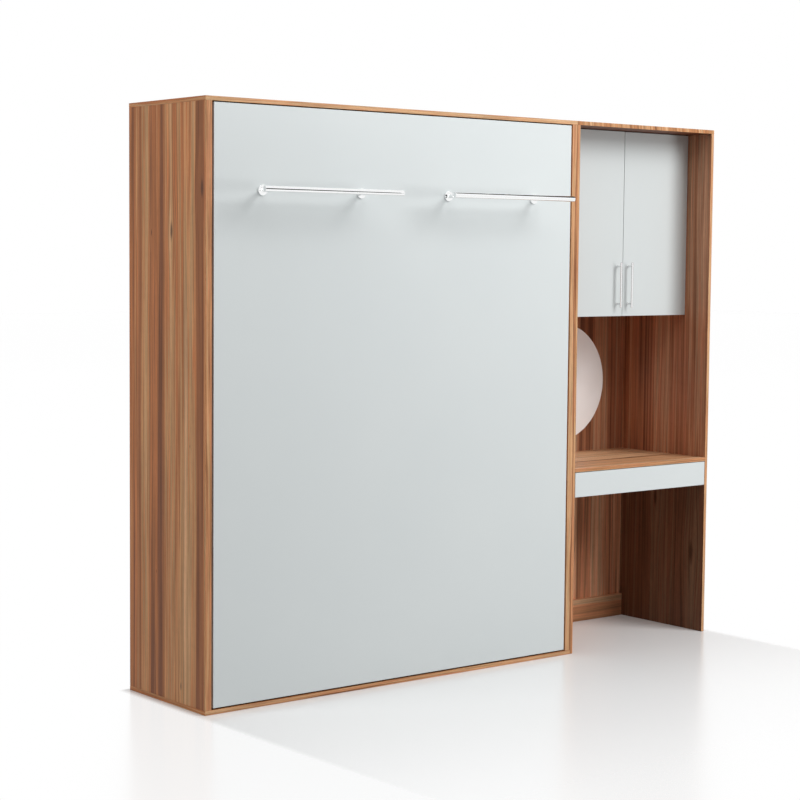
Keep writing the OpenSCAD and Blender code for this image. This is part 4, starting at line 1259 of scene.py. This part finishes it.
@dataclass
class Doors:
    """The upper cabinet's two doors with handles and concealed hinges."""

    setback: float = 135.5
    thickness: float = 16.0
    edge: float = 1.0 * MM
    inner_xs: Spot = (1817.0, 2603.0)
    hinge_zs: Spot = (1496.0, 2080.5)
    cup_r: float = 17.55
    cup_depth: float = 11.5
    cup_in: float = 20.5
    cutter_top: float = 4.0
    handle_xs: Spot = (2177.0, 2243.0)
    handle_z: float = 1528.5
    handle_l: float = 193.0
    handle_r: float = 5.0
    handle_rim: float = 0.7
    handle_reach: float = 25.0
    post_gap: float = 160.0
    post_r: float = 4.0
    post_sunk: float = 0.8
    ring_out: float = 0.9
    ring_zs: Spot = (1.2, 2.0)

    def bores(self, hinge_x: float) -> list[Piece]:
        """Return cutters for a door's two hinge cups.

        Args:
            hinge_x: Where the cups lie.

        Returns:
            The cutters.
        """
        r, deep, top = self.cup_r * MM, self.cup_depth * MM, self.cutter_top * MM
        outline = [(0.0, -deep), (r, -deep), (r, top), (0.0, top)]
        back = self.setback + self.thickness
        return [lathe("cutter", outline, at(hinge_x, back, z), BACKWARD, steps=64) for z in self.hinge_zs]

    def handle(self, name: str, x: float) -> Piece:
        """Build one bar handle with its two posts.

        Args:
            name: The piece's name.
            x: Millimetres from the drawing corner.

        Returns:
            The joined handle.
        """
        r, rim, p = self.handle_r * MM, self.handle_rim * MM, self.post_r * MM
        near = [(0.0, 0.0), (r - rim, 0.0), (r, rim)]
        foot = at(x, self.setback - self.handle_reach, self.handle_z - self.handle_l / 2)
        parts = [lathe(name + "_bar", both_ends(near, self.handle_l * MM), foot, UP, steps=40)]
        top, ring = (self.handle_reach - self.handle_r + self.post_sunk) * MM, p + self.ring_out * MM
        wall, cone = (height * MM for height in self.ring_zs)
        outline = [(0.0, 0.0), (ring, 0.0), (ring, wall), (p, cone), (p, top), (0.0, top)]
        for side in (-1, 1):
            foot = at(x, self.setback, self.handle_z + side * self.post_gap / 2)
            parts.append(lathe(name + "_post", outline, foot, FORWARD, steps=32))
        return joined(name, parts)

    def build(self) -> None:
        """Build both doors and handles and dress the hinges."""
        left, right = self.inner_xs
        for word, body, cup_x, handle_x in (
            ("left", Body.DOOR_LEFT, left + self.cup_in, self.handle_xs[0]),
            ("right", Body.DOOR_RIGHT, right - self.cup_in, self.handle_xs[1]),
        ):
            Board("door_" + word, SHADED_DOOR_LACQUER, "panel_lacquer", body, self.edge).build(self.bores(cup_x))
            handle = self.handle("bar_handle_" + word, handle_x)
            finish_piece(handle, SATIN_STEEL, "handle_steel", body, "door_handle_" + word)
        dress(ZINC, "hinge_cups_left", "hinge_cups_right", "hinge_plates", "hinge_arms")


@dataclass
class Drawer:
    """The desk drawer: its pale front, the box behind it and the ball runners."""

    front_edge: float = 1.0 * MM

    def build(self) -> None:
        """Build the front and dress the box and runners."""
        Board("drawer_front", PALE_LACQUER, "panel_lacquer", Body.DRAWER, self.front_edge).build()
        Board("drawer_back", WHITE_MELAMINE, "white_melamine", Body.DRAWER).build()
        dress(WHITE_MELAMINE, "drawer_sides", "drawer_bottom")
        dress(ZINC, "runner_inner", "runner_middle", "runner_outer")


@dataclass
class RoundMirror:
    """The frameless round mirror on the niche's back."""

    radius: float = 260.0
    thickness: float = 5.0
    back_rim: float = 0.4
    front_edge: tuple[Spot, ...] = ((0.0, 1.6), (0.5, 0.8), (8.0, 0.0))
    centre: Point = (2210.0, 510.0, 1090.0)

    def build(self) -> None:
        """Build the disc with its polished, bevelled edge."""
        r, t, rim = self.radius * MM, self.thickness * MM, self.back_rim * MM
        back = [(0.0, 0.0), (r - rim, 0.0), (r, rim)]
        front = [*((r - inward * MM, t - down * MM) for inward, down in self.front_edge), (0.0, t)]
        disc = lathe("round_mirror_disc", back + front, at(*self.centre), FORWARD, steps=128)
        finish_piece(disc, MIRROR_GLASS, "mirror_glass", Body.CABINET, "round_mirror")


@dataclass
class Studio:
    """The camera at the photograph's angle, the pale floor and the soft lights."""

    camera_at: Point = (-5.0143, -5.8819, 1.6555)
    yaw: float = 38.830
    pitch: float = -4.364
    roll: float = 0.509
    focal_share: float = 1921.2 / 800
    sensor_mm: float = 36.0
    floor_half: float = 40.0
    floor_z: float = -0.2 * MM
    floor_gloss: float = 0.22
    film_ior: float = 1.45
    sheen_ior: float = 1.16
    half_width: float = 1.31
    front_y: float = -0.18
    back_y: float = 0.34
    side_clear: float = 0.05
    front_clear: float = -1.7
    back_clear: float = 0.02
    lift: float = 0.09
    ambient: float = 0.19

    def camera(self) -> None:
        """Create the camera from the solved view."""
        yaw, pitch, roll = (math.radians(v) for v in (self.yaw, self.pitch, self.roll))
        level = math.cos(pitch)
        ahead = Vector((math.sin(yaw) * level, math.cos(yaw) * level, math.sin(pitch)))
        right = Vector((math.cos(yaw), -math.sin(yaw), 0))
        up = right.cross(ahead)
        tilted_right = math.cos(roll) * right + math.sin(roll) * up
        tilted_up = -math.sin(roll) * right + math.cos(roll) * up
        data = bpy.data.cameras.new("photo_camera")
        data.sensor_width, data.sensor_fit = self.sensor_mm, "HORIZONTAL"
        data.lens = self.focal_share * self.sensor_mm
        data.clip_end = 200
        camera = stand("photo_camera", data)
        turn = Matrix((tilted_right, tilted_up, -ahead)).transposed()
        camera.matrix_world = Matrix.Translation(self.camera_at) @ turn.to_4x4()
        bpy.context.scene.camera = camera

    def seen_directly(self, graph: Graph) -> Socket:
        """Return a factor that is one for camera, glossy and transmission rays."""
        path = graph.add("ShaderNodeLightPath").outputs
        either = graph.calc("MAXIMUM", path["Is Camera Ray"], path["Is Glossy Ray"])
        return graph.calc("MAXIMUM", either, path["Is Transmission Ray"])

    def cleared(self, graph: Graph) -> Socket:
        """Return how far the floor has cleared to white at a point: not at all round the object's foot.

        Args:
            graph: The floor's node tree.

        Returns:
            The share of white.
        """
        x, y, _ = graph.split(graph.place())
        apart = [
            graph.calc("MAXIMUM", graph.calc("MULTIPLY_ADD", value, 1 / reach, -edge / reach), 0.0)
            for value, edge, reach in (
                (graph.calc("ABSOLUTE", x), self.half_width, self.side_clear),
                (y, self.front_y, self.front_clear),
                (y, self.back_y, self.back_clear),
            )
        ]
        away = graph.add("ShaderNodeVectorMath", {0: graph.vector(*apart)}, operation="LENGTH")
        return graph.ease(away.outputs["Value"], 0.0, 1.0, self.lift, 1.0)

    def floor(self) -> None:
        """Build the pale floor, which clears to white away from the object."""
        mesh = bmesh.new()
        bmesh.ops.create_grid(mesh, x_segments=1, y_segments=1, size=self.floor_half)
        bmesh.ops.translate(mesh, vec=(0, 0, self.floor_z), verts=mesh.verts)
        piece = mesh_piece("studio_floor", mesh)
        paint = bpy.data.materials.new("studio_floor_paint")
        graph = Graph.blank(paint)
        seen = self.seen_directly(graph)
        shown = graph.calc("MULTIPLY", self.cleared(graph), seen)
        tone = graph.mix(seen, linear("#8C8C8B"), linear("#F1F1F1"))
        coated = {"Base Color": tone, "Roughness": self.floor_gloss, "IOR": self.film_ior}
        white = graph.get("ShaderNodeEmission", {"Color": WHITE, "Strength": 1.0})
        # The cleared floor takes no shadow, but still mirrors the object faintly.
        sheen = graph.get("ShaderNodeBsdfGlossy", {"Color": WHITE, "Roughness": self.floor_gloss})
        glance = graph.get("ShaderNodeFresnel", {"IOR": self.sheen_ior})
        polished = graph.get("ShaderNodeMixShader", {0: glance, 1: white, 2: sheen})
        film = graph.get("ShaderNodeBsdfPrincipled", coated)
        mixed = graph.get("ShaderNodeMixShader", {0: shown, 1: film, 2: polished})
        graph.add("ShaderNodeOutputMaterial", {"Surface": mixed})
        piece.data.materials.append(paint)

    def world(self) -> None:
        """Set a white background over a dimmer, even ambient light."""
        world = bpy.data.worlds.new("studio_world")
        bpy.context.scene.world = world
        graph = Graph.blank(world)
        strength = graph.fit(self.seen_directly(graph), 0.0, 1.0, self.ambient, 1.0)
        sky = graph.get("ShaderNodeBackground", {"Color": WHITE, "Strength": strength})
        graph.add("ShaderNodeOutputWorld", {"Surface": sky})

    def lamp(
        self, name: str, place: Point, target: Point, size: float, watts: float, mirrored: bool = True
    ) -> None:
        """Hang one square soft box.

        Args:
            name: The lamp's name.
            place: Where it hangs.
            target: Where it looks.
            size: Its side, in metres.
            watts: Its power.
            mirrored: Whether reflections show it.
        """
        data = bpy.data.lights.new(name, "AREA")
        data.shape, data.size, data.energy = "SQUARE", size, watts
        lamp = stand(name, data)
        aim = (Vector(target) - Vector(place)).to_track_quat("-Z", "Y")
        lamp.matrix_world = Matrix.Translation(place) @ aim.to_matrix().to_4x4()
        lamp.visible_glossy = mirrored

    def keep_off(self, lamps: Iterable[str], pieces: Iterable[str]) -> None:
        """Keep lamps off polished pieces, which then mirror the even white round them instead.

        Args:
            lamps: The lamps' names.
            pieces: The names of the pieces that they leave out.
        """
        spared = bpy.data.collections.new("studio_kept_off")
        for piece in pieces:
            spared.objects.link(bpy.data.objects[piece])
        for entry in spared.collection_objects:
            entry.light_linking.link_state = "EXCLUDE"
        for lamp in lamps:
            bpy.data.objects[lamp].light_linking.receiver_collection = spared

    def flags(self) -> None:
        """Hang two dark boards that only reflections show, so that the bright bars have a dark line."""
        mesh = bmesh.new()
        for corners in (
            ((-0.62, -1.2, 1.65), (0.15, -1.2, 1.72), (0.15, -1.2, 2.08), (-0.62, -1.2, 2.24)),
            ((0.6, 0.2, 3.0), (1.8, 0.4, 3.0), (1.8, -1.2, 3.0), (0.6, -0.6, 3.0)),
        ):
            mesh.faces.new([mesh.verts.new(corner) for corner in corners])
        piece = mesh_piece("studio_flag", mesh)
        paint = bpy.data.materials.new("studio_flag_cloth")
        graph = Graph.blank(paint)
        cloth = graph.get("ShaderNodeBsdfDiffuse", {"Color": linear("#1A1A1A")})
        graph.add("ShaderNodeOutputMaterial", {"Surface": cloth})
        piece.data.materials.append(paint)
        piece.visible_camera = piece.visible_diffuse = piece.visible_shadow = False
        piece.visible_transmission = piece.visible_volume_scatter = False

    def build(self) -> None:
        """Set up the camera, floor, world and lamps."""
        self.camera()
        self.floor()
        self.world()
        self.flags()
        self.lamp("key_soft_box", (3.3, -4.9, 5.1), (0.0, 0.0, 1.1), 3.4, 312)
        self.lamp("key_spark", (3.3, -4.9, 5.1), (0.0, 0.0, 1.1), 0.4, 10)
        self.lamp("low_soft_box", (6.6, -8.0, 0.9), (0.0, 0.0, 0.6), 3.0, 270, mirrored=False)
        self.lamp("left_soft_box", (-6.5, 0.9, 3.3), (-1.3, 0.1, 1.1), 2.6, 120)
        self.lamp("top_soft_box", (-1.2, -2.0, 5.6), (0.0, 0.0, 1.0), 4.0, 76)
        bpy.context.scene.view_settings.view_transform = "Standard"


def main() -> None:
    """Build the studio and every sub-assembly in order."""
    logging.basicConfig(level=logging.INFO, format="%(name)s: %(message)s")
    studio = Studio()
    studio.build()
    for assembly in (Carcasses(), LiftMechanism(), Bed(), FootBars(), Doors(), Drawer(), RoundMirror()):
        log.info("building %s", type(assembly).__name__)
        assembly.build()
    studio.keep_off(
        ("key_soft_box", "key_spark"), ("foot_bar_left", "foot_bar_right", "bar_handle_left", "bar_handle_right")
    )


if __name__ == "__main__":
    main()
